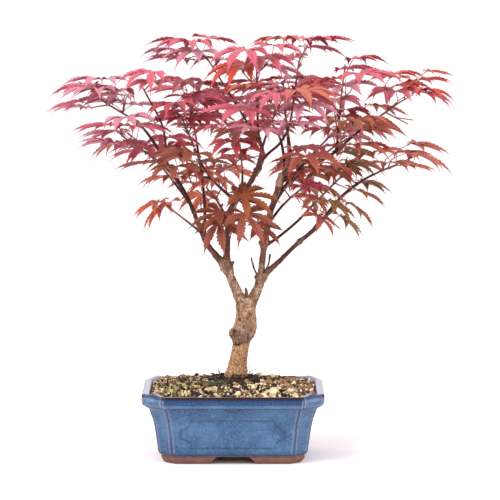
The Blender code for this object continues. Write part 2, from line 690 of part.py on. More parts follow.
def leaf_shape(leaf):
    """A leaf as a thin lens on its stalk: the outline with a middle point above and one below,
    closed at the heel by a small three-cornered ring that runs back to the twig."""
    outline = leaf_outline(leaf)
    _, left, up = leaf["frame"]
    rise = up * leaf["size"] * LEAF_THICKNESS / 2
    back = unit(leaf["base"] - leaf["node"])
    ring = np.array((left, -left, -unit(up - back * np.dot(up, back)))) * STALK
    heel = leaf["base"] - back * leaf["size"] * LEAF_HEEL + ring
    points = np.vstack((outline, heel, leaf["node"] + ring, leaf["base"] + rise, leaf["base"] - rise))
    edge = len(outline)
    left_heel, right_heel, low_heel = edge, edge + 1, edge + 2
    top, under = edge + 6, edge + 7
    round_top = list(range(edge)) + [left_heel, right_heel]
    round_under = list(range(edge)) + [left_heel, low_heel, right_heel]
    faces = [(a, b, top) for a, b in zip(round_top, round_top[1:] + round_top[:1])]
    faces += [(b, a, under) for a, b in zip(round_under, round_under[1:] + round_under[:1])]
    for a, b in ((left_heel, right_heel), (right_heel, low_heel), (low_heel, left_heel)):
        faces.append((b, a, a + 3, b + 3))
    faces.append((left_heel + 3, right_heel + 3, low_heel + 3))
    return points, faces


def leaf_colour(height):
    """Bronze low in the crown, turning to crimson and pink at its top."""
    share = min(1.0, max(0.0, (height - 200.0) / 120.0))
    low = np.array((0.28, 0.09, 0.035))
    high = np.array((0.52, 0.07, 0.085))
    return low + (high - low) * share


def build_mass(row, twigs, leaves):
    """One mass of leaves: its twigs, leaf stalks and leaves fused on its stem. Many thin leaves
    meet here, and the exact union leaves open edges on some masses, so this one isn't exact."""
    name = "leaves_" + row["name"]
    material = plain_material(name, leaf_colour(row["heart"][2]), 0.5)
    stem = twigs[0]
    origin = stem[0, :3]
    mass = make_object(name, *loft(tube_rings(stem, 5)), origin, material)
    parts = [make_object(name + "_twig", *loft(tube_rings(twig, 3)), origin) for twig in twigs[1:]]
    parts += [make_object(name + "_leaf", *leaf_shape(leaf), origin) for leaf in leaves]
    fuse(mass, parts, "MANIFOLD")


def stand_at_origin():
    """Moves the whole plant so that the middle of its box is over the origin."""
    bpy.context.view_layer.update()
    graph = bpy.context.evaluated_depsgraph_get()
    corners = []
    for item in bpy.data.objects:
        if item.type == "MESH" and not item.hide_render:
            shape = item.evaluated_get(graph)
            points = np.array([item.matrix_world @ vertex.co for vertex in shape.data.vertices])
            corners += [points.min(axis=0), points.max(axis=0)]
    low = np.min(corners, axis=0)
    high = np.max(corners, axis=0)
    plant_root.location = (-(low[0] + high[0]) / 2, -(low[1] + high[1]) / 2, 0.0)


for old_item in list(bpy.data.objects):
    bpy.data.objects.remove(old_item)
plant_root = bpy.data.objects.new("plant", None)
bpy.context.scene.collection.objects.link(plant_root)

limb_ways = limb_paths()
mass_spaces = {row["name"]: mass_space(i) for i, row in enumerate(BOUGHS)}
limb_ends = {row["name"]: entry_distance(row, limb_ways[row["name"]], mass_spaces[row["name"]])
             for row in BOUGHS}
limb_balls = limb_posts(limb_ways, limb_ends)

build_pot()
build_soil()
build_boughs(limb_ways, limb_ends, build_trunk())
for bough in BOUGHS:
    key = bough["name"]
    grown = grow_mass(bough, limb_ways[key], limb_ends[key], mass_spaces[key], limb_balls, LEAVES_MOST)
    build_mass(bough, *grown)
stand_at_origin()
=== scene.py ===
import itertools
import json
import math

import bpy
import numpy as np
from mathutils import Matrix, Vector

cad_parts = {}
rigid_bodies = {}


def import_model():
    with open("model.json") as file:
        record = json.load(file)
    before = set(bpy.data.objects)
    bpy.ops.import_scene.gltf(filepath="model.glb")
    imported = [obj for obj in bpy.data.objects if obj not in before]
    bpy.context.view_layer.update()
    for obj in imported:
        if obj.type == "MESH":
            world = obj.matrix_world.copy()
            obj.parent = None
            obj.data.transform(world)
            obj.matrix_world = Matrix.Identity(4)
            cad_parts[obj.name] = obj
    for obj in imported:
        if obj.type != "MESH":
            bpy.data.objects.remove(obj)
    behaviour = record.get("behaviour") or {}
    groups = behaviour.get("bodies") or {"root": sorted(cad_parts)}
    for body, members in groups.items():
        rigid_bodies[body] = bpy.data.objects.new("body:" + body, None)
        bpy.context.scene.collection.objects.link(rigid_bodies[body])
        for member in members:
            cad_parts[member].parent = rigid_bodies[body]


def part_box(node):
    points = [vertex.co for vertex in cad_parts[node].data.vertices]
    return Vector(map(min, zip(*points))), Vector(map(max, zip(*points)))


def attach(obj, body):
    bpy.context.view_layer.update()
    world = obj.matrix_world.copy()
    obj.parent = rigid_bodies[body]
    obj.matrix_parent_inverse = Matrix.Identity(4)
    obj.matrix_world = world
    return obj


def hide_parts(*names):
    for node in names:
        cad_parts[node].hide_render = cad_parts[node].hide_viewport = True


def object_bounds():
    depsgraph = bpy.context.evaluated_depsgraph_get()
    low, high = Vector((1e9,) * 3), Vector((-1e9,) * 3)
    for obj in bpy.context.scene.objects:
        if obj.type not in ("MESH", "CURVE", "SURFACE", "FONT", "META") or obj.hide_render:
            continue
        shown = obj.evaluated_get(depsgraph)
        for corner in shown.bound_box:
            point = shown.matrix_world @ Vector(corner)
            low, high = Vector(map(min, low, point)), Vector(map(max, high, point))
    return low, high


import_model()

# Japanese maple bonsai in a blue glazed pot. Lengths here are millimetres from the middle of the pot,
# with z up from the table and the front looking along -y; toFrame turns them into the frame's metres.

cadBox = [[float(value) for value in corner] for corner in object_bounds()]
potBox = [np.array(corner, float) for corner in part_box("pot")]
potMiddle = np.append(((potBox[0] + potBox[1]) / 2)[:2], 0.0)
crownLow, crownHigh = (np.array(cadBox) - potMiddle) * 1000
goldenTurn = math.radians(137.5)


# Position in the frame: millimetres divided by a thousand, plus the place of the pot's middle
def toFrame(points):
    return np.asarray(points, float) * 0.001 + potMiddle


# Linear light of a display colour: each channel through the sRGB curve
def toLinear(hexValue):
    channels = [int(hexValue[k:k + 2], 16) / 255 for k in (1, 3, 5)]
    return [c / 12.92 if c <= 0.04045 else ((c + 0.055) / 1.055) ** 2.4 for c in channels] + [1.0]


# Sets inputs of a node. Each takes a value, another node's output, a colour such as "#AABBCC" or the name
# of a point attribute.
def wire(tree, node, wires):
    for socket, source in wires.items():
        if isinstance(source, str):
            source = (toLinear(source) if source[0] == "#"
                      else addNode(tree, "Attribute", {}, "Fac", attribute_name=source))
        if isinstance(source, bpy.types.NodeSocket):
            tree.links.new(source, node.inputs[socket])
        else:
            node.inputs[socket].default_value = source


# Adds one node with its wires and its own settings, and gives one of its outputs
def addNode(tree, kind, wires, output=0, **settings):
    node = tree.nodes.new("ShaderNode" + kind)
    for key, value in settings.items():
        setattr(node, key, value)
    wire(tree, node, wires)
    return node.outputs[output]


# Object coordinates times a stretch
def stretched(tree, stretch):
    return addNode(tree, "Mapping", {"Vector": addNode(tree, "TexCoord", {}, "Object"), "Scale": stretch})


# Blotches about size millimetres across: noise on Object coordinates, whose scale is 1000 / (2 size)
def blotches(tree, size, detail=3.0, stretch=(1.0, 1.0, 1.0)):
    return addNode(tree, "TexNoise", {"Vector": stretched(tree, stretch), "Scale": 1000.0 / (2.0 * size),
                                      "Detail": detail, "Roughness": 0.6})


# One colour laid over another: its share is the steering value, spread from low..high to 0..1
def blend(tree, under, over, steer, low=0.0, high=1.0):
    share = addNode(tree, "MapRange", {"Value": steer, "From Min": low, "From Max": high})
    return addNode(tree, "Mix", {0: share, 6: under, 7: over}, 2, data_type="RGBA")


# A new material and its nodes
def startMaterial(name):
    material = bpy.data.materials.new(name)
    material.use_nodes = True
    return material, material.node_tree


# Sets a material's shader. relief is a height, its depth in millimetres and its strength; more holds the
# values of other inputs.
def setShader(tree, colour, roughness, ior=1.5, relief=None, more=()):
    wires = {"Base Color": colour, "Roughness": roughness, "IOR": ior, **dict(more)}
    if relief:
        height, depth, strength = relief
        wires["Normal"] = addNode(tree, "Bump", {"Height": height, "Distance": depth * 0.001,
                                                 "Strength": strength})
    wire(tree, tree.nodes["Principled BSDF"], wires)


# A material in two tones. steer mixes them: size and detail of blotches, or the name of a point attribute.
# relief is size and detail of finer blotches with their depth and strength; over is an attribute and the
# colour that it lays on top.
def twoTone(name, roughness, ior, tones, steer, relief=None, over=None):
    material, tree = startMaterial(name)
    spread = () if isinstance(steer, str) else (0.35, 0.65)
    colour = blend(tree, *tones, blotches(tree, *steer) if spread else steer, *spread)
    if over:
        colour = blend(tree, colour, over[1], over[0])
    if relief:
        relief = (blotches(tree, *relief[:2]), *relief[2:])
    setShader(tree, colour, roughness, ior, relief)
    return material


# A vector, or each of many, divided by its length
def unit(vectors):
    vectors = np.asarray(vectors, float)
    return vectors / np.linalg.norm(vectors, axis=-1, keepdims=True)


# Distance of each point from a spot
def away(points, spot):
    return np.linalg.norm(points - np.asarray(spot), axis=-1)


noiseTable = np.random.RandomState(11).uniform(-1.0, 1.0, (32, 32, 32))


# Smooth value noise from -1 to 1: random values on a repeating lattice, eased between its corners
def noiseAt(points, size):
    spot = np.asarray(points, float) / size + 7.3
    cell = np.floor(spot).astype(int)
    share = spot - cell
    share = share * share * (3 - 2 * share)
    return sum(np.prod(np.where(step, share, 1 - share), axis=-1)
               * noiseTable[tuple(np.moveaxis((cell + step) % 32, -1, 0))]
               for step in itertools.product((0, 1), repeat=3))


# Faces of a tube of rings: four-cornered ones between neighbouring rings and one over each end
def tubeFaces(rings, sides):
    ring, side = np.meshgrid(np.arange(rings - 1) * sides, np.arange(sides), indexing="ij")
    after = (side + 1) % sides
    quads = np.stack((ring + side, ring + after, ring + sides + after, ring + sides + side), axis=-1)
    ends = np.arange(sides)[None]
    return [quads.reshape(-1, 4), ends[:, ::-1], ends + (rings - 1) * sides]


# Faces of many copies of one pattern: its own, moved on by the number of its points for each copy
def copyFaces(faceSets, copies, size):
    firsts = np.arange(copies)[:, None, None] * size
    return [(firsts + faces).reshape(-1, faces.shape[1]) for faces in faceSets]


# Links a new object to the scene
def addObject(name, data):
    thing = bpy.data.objects.new(name, data)
    bpy.context.scene.collection.objects.link(thing)
    return thing


# Makes a piece from points in millimetres and arrays of faces with 3, 4 or more corners each
def makePiece(name, points, faceSets, material, slotName, replaced=(), smooth=True, marks=None):
    mesh = bpy.data.meshes.new(name)
    points = toFrame(points).reshape(-1, 3)
    mesh.vertices.add(len(points))
    mesh.vertices.foreach_set("co", points.astype(np.float32).ravel())
    corners = np.concatenate([faces.ravel() for faces in faceSets])
    counts = np.concatenate([np.full(len(faces), faces.shape[1]) for faces in faceSets])
    mesh.loops.add(len(corners))
    mesh.loops.foreach_set("vertex_index", corners.astype(np.int32))
    mesh.polygons.add(len(counts))
    mesh.polygons.foreach_set("loop_start", np.concatenate(([0], np.cumsum(counts)[:-1])).astype(np.int32))
    mesh.update(calc_edges=True)
    mesh.validate()
    for key, values in (marks or {}).items():
        mark = mesh.attributes.new(key, "FLOAT", "POINT")
        mark.data.foreach_set("value", np.asarray(values, np.float32).ravel())
    if smooth:
        mesh.shade_smooth()
    mesh.materials.append(material)
    piece = addObject(name, mesh)
    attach(piece, "root")
    if replaced:
        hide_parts(*replaced)
    print("made", name, "with", len(counts), "faces")


# Rings round many paths at once. Each path is rows of x, y, z and radius; a ring's two directions are
# square to the path and worked out from one helper direction.
def tubeRings(paths, sides, helper):
    heads = unit(np.gradient(paths[..., :3], axis=-2))
    across = unit(np.cross(heads, np.broadcast_to(helper, heads.shape)))
    over = np.cross(heads, across)
    turn = (np.arange(sides) * 2 * math.pi / sides)[:, None]
    ring = across[..., None, :] * np.cos(turn) + over[..., None, :] * np.sin(turn)
    return paths[..., None, :3] + ring * paths[..., 3][..., None, None]


# Points and faces of many like tubes with closed ends, from paths of shape (tubes, stations, 4)
def manyTubes(paths, sides, helper=(0.23, 0.91, 0.34)):
    count, stations = paths.shape[:2]
    return (tubeRings(paths, sides, helper).reshape(-1, 3),
            copyFaces(tubeFaces(stations, sides), count, stations * sides))


# Joins several sets of points and faces into one, sorted by the number of corners
def joinSets(sets):
    points = np.concatenate([part[0] for part in sets])
    first = 0
    faces = {}
    for part, faceSets in sets:
        for group in faceSets:
            faces.setdefault(group.shape[1], []).append(group + first)
        first += len(part)
    return points, [np.concatenate(group) for group in faces.values()]


# Bell of a distance: 1 at zero, fading over width
def bell(distance, width):
    return np.exp(-(distance / width) ** 2)


# Steps from 0 to 1 while a value goes from low to high, eased at both ends
def ease(value, low, high):
    share = np.clip((value - low) / (high - low), 0.0, 1.0)
    return share * share * (3 - 2 * share)


# Leaves and twigs: what a user would change. levelAt, leanAt and grownAt: heights between which level and
# drop, lean, and grown go from their first value to their second. Names in fine are for the finer twigs.
leafPlan = dict(length=34.0, lobes=((-78.0, 0.66), (-38.0, 0.93), (0.0, 1.0), (38.0, 0.93), (78.0, 0.66)),
                sinus=0.31, shoots=5, places=(1.0, 0.5, 0.05), stalk=(10.0, 26.0), apart=1.8, tries=10,
                most=9, halfWidth=0.11, pull=0.12, lift=0.10, droop=0.42, level=(0.15, 0.9),
                levelAt=(215.0, 290.0), drop=(0.50, 0.60), lean=(1.0, 0.0), leanAt=(205.0, 250.0), sweep=0.5,
                grown=(1.0, 1.28), grownAt=(215.0, 270.0), past=6.0, fold=(0.74, 1.06), fineApart=1.4,
                fineTries=2, fineDroop=(0.3, 1.2), fineAt=0.45, fineSize=(0.7, 0.95), fineAbove=285.0,
                overReach=3.0, overSpace=4.0, overBox=4.0, underTop=4.0, nearby=110.0)
leafLobes, lobePull, lobeLift, lobeDroop = (leafPlan[key] for key in ("lobes", "pull", "lift", "droop"))
lobeTurns, lobeLengths = np.array(leafLobes).T

# Radii at the two ends of shoots and of finer twigs, and the shares of its reach tried as a shoot's length
twigRadii = (0.95, 0.60)
fineRadii = (0.55, 0.42)
shootShares = (1.0, 0.75, 0.55)
# How far leaves, and stalks and shoots, keep inside the space of their mass, and what room leaves keep to
# limbs, shoots to limbs and leaves to twigs
leafMargin, shootMargin = 0.6, 1.2
limbSpare, shootSpare, twigSpare = 1.0, 1.4, 0.8
# The two back corners of a leaf: their turn from its middle lobe and their share of its length
heelTurn, heelLength = 126.0, 0.40
# Gap between the spaces of two masses, height of the trunk's foot on the soil, how heights count when masses
# are parted, distance of points along a bough, and least length of bare bough before its mass
solidGap = 0.3
soilTop = 66.7
padStretch = np.array((1.0, 1.0, 1.7))
pathStep = 10.0
leastBough = 16.0

# Trunk: height, centre in x and y, half width in x and y
trunkStations = (
    (67, 1.2, 0, 10, 9.8), (70, 1.7, 0, 8.9, 8.7), (76, 3, 0.2, 7.9, 7.9), (84, 4.3, 0.4, 7.2, 7.4),
    (92, 5.6, 0.4, 6.9, 7.2), (98, 7, 0.2, 7.1, 7.3), (104, 9, -0.2, 7.9, 7.8), (110, 10.2, -0.6, 8.2, 7.9),
    (117, 11, -0.6, 7.8, 7.4), (125, 11.1, -0.2, 6.9, 6.8), (132, 11.6, 0, 7.8, 6.6), (136, 12, 0, 9.3, 6.4),
    (140, 12, 0, 10.2, 5.7),
)

# Boughs, each with the mass of leaves that it ends in. place: the height at which it leaves its parent, or a
# point inside the trunk's top. thick: its radius at the root and in the heart of its mass. way: points that
# it passes, each with its radius there. heart: the middle of its mass. reach: half the size of the mass.
# tints: the mass's colours, the likeliest first: pink and crimson at the top, bronze and orange below; the
# pale mauve is pink leaf colour greyed and lightened by a painted sheen of sky.
boughKeys = ("parent", "place", "thick", "way", "heart", "reach", "seed", "tints")
boughs = {row[0]: dict(zip(boughKeys, row[1:])) for row in (
    ("far_left", "trunk", (8.9, 0, 133.5), (4.5, 0.8), ((-1.8, -1, 154.3, 3.6), (-6.5, -2, 165, 3.7),
     (-22.6, 0, 183.4, 2.1), (-38.6, 4, 221.6, 1.7), (-60.8, 8, 258.4, 1.4), (-79.2, 8, 284, 1)),
     (-108, 6, 303), (62, 52, 32), 58, "rose mauve crimson"),
    ("far_right", "trunk", (15.4, 0, 133.5), (4.2, 0.8), ((23.6, 0, 152.4, 3.2), (39.6, -1, 168.7, 2),
     (57.1, -2, 185.9, 1.7), (71.7, -2, 198.3, 1.7), (93.5, 2, 224.4, 1.3), (116.6, 4, 240.8, 1)),
     (138, 6, 250), (52, 50, 30), 31, "brick bronze orange"),
    ("top_middle", "far_left", 163.5, (2.8, 0.8), ((-4.8, 4, 189, 2.7), (-0.9, 5, 214.7, 2.8),
     (12.2, 0, 232, 2.2), (25.2, -6, 258.4, 2), (21.5, -12, 278, 1.2)), (20, -22, 331), (50, 48, 32),
     82, "rose mauve scarlet"),
    ("heart_right", "far_right", 152, (2.8, 0.8), ((26.6, 5, 181.4, 2.6), (31.6, 8, 208, 2.6),
     (39.8, 10, 234, 2.4), (47.4, 12, 254, 1.9), (47.6, 16, 268, 1.6)), (44, 30, 300), (52, 48, 32),
     44, "crimson rose russet"),
    ("low_right", "heart_right", 181.5, (1.4, 0.8), ((36, 4, 186.6, 1.3), (55, 10, 201.6, 1.1),
     (69, 14, 216, 1)), (93, 24, 239), (56, 48, 30), 37, "brick olive bronze"),
    ("high_right", "heart_right", 236, (1.8, 0.8), ((82, 2, 258.4, 1.3), (104, 0, 277, 1.1)), (140, 4, 303),
     (54, 50, 32), 33, "scarlet rose mauve"),
    ("inner_left", "top_middle", 219, (1.5, 0.8), ((-23, -6, 246, 1.1),), (-42, -18, 290), (50, 48, 32),
     5, "crimson rose brick"),
    ("back_left", "far_left", 187, (1.5, 0.8), ((-25.6, 24, 226, 1.2),), (-36, 66, 290), (54, 50, 32),
     19, "rose mauve crimson"),
    ("upper_left", "far_left", 252, (1.1, 0.7), ((-60, -2, 284, 0.9),), (-76, -12, 317), (48, 48, 30),
     61, "rose crimson mauve"),
    ("left", "far_left", 234, (1.2, 0.7), ((-62, -14, 254, 0.9),), (-92, -30, 277), (56, 50, 30),
     87, "mauve rose crimson"),
    ("left_back", "far_left", 218, (1.3, 0.7), ((-54, 22, 238, 1),), (-76, 44, 262), (52, 50, 30),
     82, "brick crimson rose"),
    ("low_left", "far_left", 193, (1.2, 0.7), ((-38, -12, 203, 0.9),), (-48, -22, 212), (42, 48, 30),
     17, "orange brick orange"),
    ("low_front", "top_middle", 182, (1.3, 0.7), ((-2, -16, 194, 1),), (2, -38, 203), (52, 48, 32),
     41, "bronze russet brick"),
    ("front_left", "inner_left", 240, (1, 0.7), ((-33, -28, 244, 0.8),), (-44, -50, 248), (52, 50, 32),
     41, "brick russet mauve"),
    ("top_left", "top_middle", 268, (1.1, 0.7), ((4, 4, 300, 0.9),), (-22, 12, 341), (54, 50, 30),
     68, "mauve rose crimson"),
    ("top_right", "top_middle", 256, (1.3, 0.7), ((46, -14, 281, 1),), (56, 8, 338), (48, 48, 30),
     77, "rose mauve brick"),
    ("upper_right", "high_right", 263, (1.1, 0.7), ((90, -8, 290, 0.9),), (92, -14, 315), (48, 48, 30),
     31, "rose mauve scarlet"),
    ("right", "high_right", 251, (1.2, 0.7), ((80, -18, 264, 0.9),), (98, -36, 277), (54, 50, 30),
     4, "brick mauve bronze"),
    ("low_right_front", "far_right", 194, (1.2, 0.7), ((74, -16, 204, 0.9),), (84, -28, 214), (50, 48, 30),
     59, "brick bronze olive"),
    ("middle_right", "heart_right", 212, (1.3, 0.7), ((44, -16, 232, 0.9),), (60, -44, 249), (50, 48, 30),
     79, "brick rose olive"),
    ("middle", "top_middle", 226, (1.3, 0.7), ((8, -24, 246, 0.9),), (6, -50, 272), (48, 48, 30),
     19, "crimson rose russet"),
    ("front", "top_middle", 244, (1.3, 0.8), ((27, -40, 276, 1),), (34, -86, 298), (54, 50, 32),
     73, "rose mauve brick"),
    ("back", "heart_right", 247, (1.4, 0.8), ((40, 44, 272, 1.1),), (28, 88, 288), (56, 50, 32),
     9, "rose crimson brick"),
    ("back_right", "heart_right", 222, (1.4, 0.8), ((62, 36, 250, 1.1),), (92, 74, 278), (54, 50, 32),
     71, "rose brick crimson"),
    ("back_low", "heart_right", 199, (1.4, 0.8), ((44, 38, 214, 1.1),), (62, 72, 226), (52, 50, 30),
     36, "bronze brick crimson"),
    ("back_low_left", "top_middle", 198, (1.4, 0.8), ((-12, 34, 214, 1.1),), (-24, 64, 226), (52, 50, 30),
     84, "brick orange bronze"),
)}
leafNodes = ["leaves_" + name for name in boughs]


# Catmull-Rom curve through the points, read about every step.
def smoothPath(points, step):
    points = np.asarray(points, float)
    ends = np.vstack((2 * points[0] - points[1], points, 2 * points[-1] - points[-2]))
    pieces = []
    for i in range(len(points) - 1):
        a, b, c, d = ends[i:i + 4]
        count = max(2, int(round(np.linalg.norm(c - b) / step)))
        t = np.arange(count)[:, None] / count
        pieces.append(0.5 * (2 * b + (c - a) * t + (2 * a - 5 * b + 4 * c - d) * t ** 2
                             + (3 * b - a - 3 * c + d) * t ** 3))
    return np.vstack(pieces + [points[-1:]])


# Distance from the start of a path to each of its points.
def along(path):
    return np.concatenate(([0.0], np.cumsum(np.linalg.norm(np.diff(path[:, :3], axis=0), axis=1))))


# Points of a path, with their radii where it has them, at distances from its start.
def atDistance(path, distance):
    run = along(path)
    return np.stack([np.interp(distance, run, column) for column in path.T], axis=-1)


# A vector turned about an axis (Rodrigues' formula).
def turned(vector, axis, angle):
    return (vector * math.cos(angle) + np.cross(axis, vector) * math.sin(angle)
            + axis * np.dot(axis, vector) * (1 - math.cos(angle)))


# Half spaces that part a mass from each of the others, as normals and limits. Heights count more than
# widths, so that each mass is a flat pad of leaves.
def massSpace(index):
    hearts = np.array([bough["heart"] for bough in boughs.values()]) * padStretch
    sizes = np.array([bough["reach"][0] for bough in boughs.values()])
    powers = np.sum(hearts ** 2, axis=1) - sizes ** 2
    normals = np.delete(hearts - hearts[index], index, axis=0) * padStretch
    limits = (np.delete(powers, index) - powers[index]) / 2
    spans = np.linalg.norm(normals, axis=1)
    return normals / spans[:, None], limits / spans - solidGap / 2


# Whether all the points are in the mass's oval and on its side of every half space.
def inSpace(points, mass, margin):
    normals, limits = mass["space"]
    oval = np.sum(((points - mass["heart"]) / (np.array(mass["reach"]) - margin)) ** 2, axis=-1)
    return oval.max() < 1.0 and (points @ normals.T + margin < limits).all()


# The whole way of a bough with its radii, from inside its source to its mass's heart.
def limbPath(bough):
    place = bough["place"]
    if bough["parent"] != "trunk":
        way = boughs[bough["parent"]]["path"]
        place = tuple(np.interp(place, way[:, 2], way[:, k]) for k in range(3))
    root, end = bough["thick"]
    return smoothPath((place + (root,), *bough["way"], bough["heart"] + (end,)), pathStep)


# How far along its way a bough enters its mass for good.
def entryDistance(bough):
    stops = np.arange(leastBough, along(bough["path"])[-1] - 4.0, 2.0)
    inside = [inSpace(atDistance(bough["path"], stop)[:3], bough, 2.0) for stop in stops]
    lastOut = max([i for i, flag in enumerate(inside) if not flag], default=0)
    return stops[min(lastOut + 1, len(stops) - 1)]


# Axes of a leaf: along its middle lobe, to its left and up from its face.
def leafFrame(heading, pitch, roll):
    middle = np.array([math.cos(heading) * math.cos(pitch), math.sin(heading) * math.cos(pitch),
                       math.sin(pitch)])
    left = np.array([-math.sin(heading), math.cos(heading), 0.0])
    return np.stack((middle, turned(left, middle, roll), turned(np.cross(middle, left), middle, roll)))


# Directions in a leaf's plane, turned from its middle lobe by degrees
def planeWays(degrees):
    turns = np.radians(degrees)
    return np.stack((np.cos(turns), np.sin(turns), 0 * turns), axis=1)


# Points down the middle of every lobe: they rise a little, then droop to the tip.
def lobePoints(leaf, shares):
    size = leaf["size"] * lobeLengths[:, None]
    out = size * shares * (1 - lobePull * shares ** 2)
    high = size * (lobeLift * shares - lobeDroop * leaf["droop"] * shares ** 2)
    local = planeWays(lobeTurns)[:, None] * out[..., None] + high[..., None] * (0, 0, 1)
    return leaf["base"] + local @ leaf["axes"]


# A leaf's tips and the hollows between them.
def leafOutline(leaf):
    hollows = planeWays((lobeTurns[1:] + lobeTurns[:-1]) / 2) * leaf["size"] * leafPlan["sinus"]
    return np.vstack((lobePoints(leaf, np.ones(1))[:, 0], leaf["base"] + hollows @ leaf["axes"]))


# Points that stand for a leaf when room is tested for it, along and beside its lobes.
def leafBody(leaf):
    middles = lobePoints(leaf, np.linspace(0.2, 1.0, 5))
    side = (planeWays(lobeTurns + 90.0) @ leaf["axes"])[:, None] * leaf["size"] * leafPlan["halfWidth"]
    outline = leafOutline(leaf)
    return np.vstack((*middles, *(middles[:, :4] + side), *(middles[:, :4] - side), outline,
                      (outline + leaf["base"]) / 2))


# Whether points keep clear of balls, given as rows of centre and radius.
def clearOf(points, balls, spare):
    return (away(points[:, None], balls[:, :3]) > balls[:, 3] + spare).all()


# All limbs as closely set balls, so that distances to them are easy to test.
def limbPosts():
    balls = [atDistance(bough["path"], np.arange(0.0, bough["entry"], 2.0)) for bough in boughs.values()]
    stations = np.array(trunkStations)
    heights = np.arange(stations[0, 0], stations[-1, 0], 3.0)
    x, y, radii = (np.interp(heights, stations[:, 0], stations[:, k]) for k in (1, 2, 3))
    return np.vstack(balls + [np.column_stack((x, y, heights, radii))])


# Shoots that turn round the stem by the golden angle, the first one at its end. One that would leave the
# mass's space is cut back, and skipped if even its shortest form does.
def growShoots(mass, draw):
    stem = mass["stem"]
    aim = unit(stem[-1, :3] - stem[0, :3])
    side = unit(np.cross(aim, (0.3, 0.2, 1.0)))
    firstTurn = draw.uniform(0.0, 2 * math.pi)
    shoots = []
    for k in range(leafPlan["shoots"]):
        turn = firstTurn + k * goldenTurn + draw.uniform(-0.4, 0.4)
        share = draw.uniform(0.35, 0.95) if k else 1.0
        start = atDistance(stem, share * along(stem)[-1])[:3]
        out = turned(side, aim, turn) * (1.0 if k else 0.3)
        way = unit(aim * draw.uniform(0.1, 0.7) + out + (0.0, 0.0, 0.3))
        reach = draw.uniform(10.0, 26.0)
        for length in reach * np.array(shootShares):
            line = start + way * np.linspace(0.3, 1.0, 5)[:, None] * length
            if inSpace(line, mass, shootMargin) and clearOf(line, mass["limbs"], shootSpare):
                shoots.append(np.column_stack(((start, start + way * length), twigRadii)))
                break
    return shoots


# A leaf on a stalk to one side of a shoot, facing outwards, tilted and drooping by chance.
def growLeaf(shoot, share, hand, turn, draw):
    start, tip = shoot[:, :3]
    way = unit(tip - start)
    node = start + (tip - start) * share
    across = unit(np.cross(way, (0.2, 0.1, 1.0)))
    across = turned(across, way, turn + draw.uniform(-0.5, 0.5))
    rise = draw.uniform(0.1, 0.7)
    lean = unit(across * hand + way * draw.uniform(0.2, 1.0) + (0.0, 0.0, rise))
    shrink = draw.uniform(0.82, 1.15)
    base = node + lean * draw.uniform(*leafPlan["stalk"])
    heading = math.atan2(lean[1], lean[0]) + draw.uniform(-0.5, 0.5)
    axes = leafFrame(heading, draw.uniform(-0.45, 0.20), draw.uniform(-0.30, 0.30))
    droop = draw.uniform(0.6, 1.4)
    draw.uniform()  # keeps the source's order of draws
    return dict(base=base, axes=axes, size=leafPlan["length"] * shrink, droop=droop, node=node)


# A leaf is kept if it and its stalk have room and it lies across nothing kept before.
def leafFits(leaf, others, mass, apart):
    if not inSpace(leafOutline(leaf), mass, leafMargin):
        return False
    body = leafBody(leaf)
    stalk = leaf["node"] + (leaf["base"] - leaf["node"]) * np.linspace(0.0, 1.0, 6)[:, None]
    leaf["body"] = np.vstack((body, stalk[3:]))
    return (inSpace(body, mass, leafMargin) and inSpace(stalk, mass, shootMargin)
            and clearOf(body, mass["limbs"], limbSpare) and clearOf(stalk, mass["limbs"], limbSpare)
            and clearOf(body, mass["twigs"], twigSpare)
            and all(away(leaf["body"][:, None], other["body"]).min() >= apart for other in others))


# Twigs and leaves of one mass, as its solid has them. Leaves come in pairs, first at the shoots' tips and
# then further back, each with a few tries; one that finds no room is skipped.
def growMass(mass, posts):
    draw = np.random.RandomState(mass["seed"])
    stem = atDistance(mass["path"], np.linspace(mass["entry"] + solidGap, along(mass["path"])[-1], 4))
    near = away(posts[:, :3], mass["heart"]) < 2 * mass["reach"][0]
    mass.update(stem=stem, limbs=posts[near], fine=[], leaves=[])
    shoots = growShoots(mass, draw)
    mass["twigs"] = np.vstack([atDistance(twig, np.arange(0.0, along(twig)[-1], 2.5))
                               for twig in [stem] + shoots])
    spots = itertools.product(enumerate(leafPlan["places"]), enumerate(shoots), (1.0, -1.0))
    for (pair, share), (k, shoot), hand in spots:
        for _ in range(leafPlan["tries"] if len(mass["leaves"]) < leafPlan["most"] else 0):
            leaf = growLeaf(shoot, share, hand, pair * math.pi / 2, draw)
            if leafFits(leaf, mass["leaves"], mass, leafPlan["apart"]):
                mass["leaves"].append(dict(leaf, spray=k))
                break
    mass["shoots"] = {k: shoots[k] for k in sorted({leaf["spray"] for leaf in mass["leaves"]})}


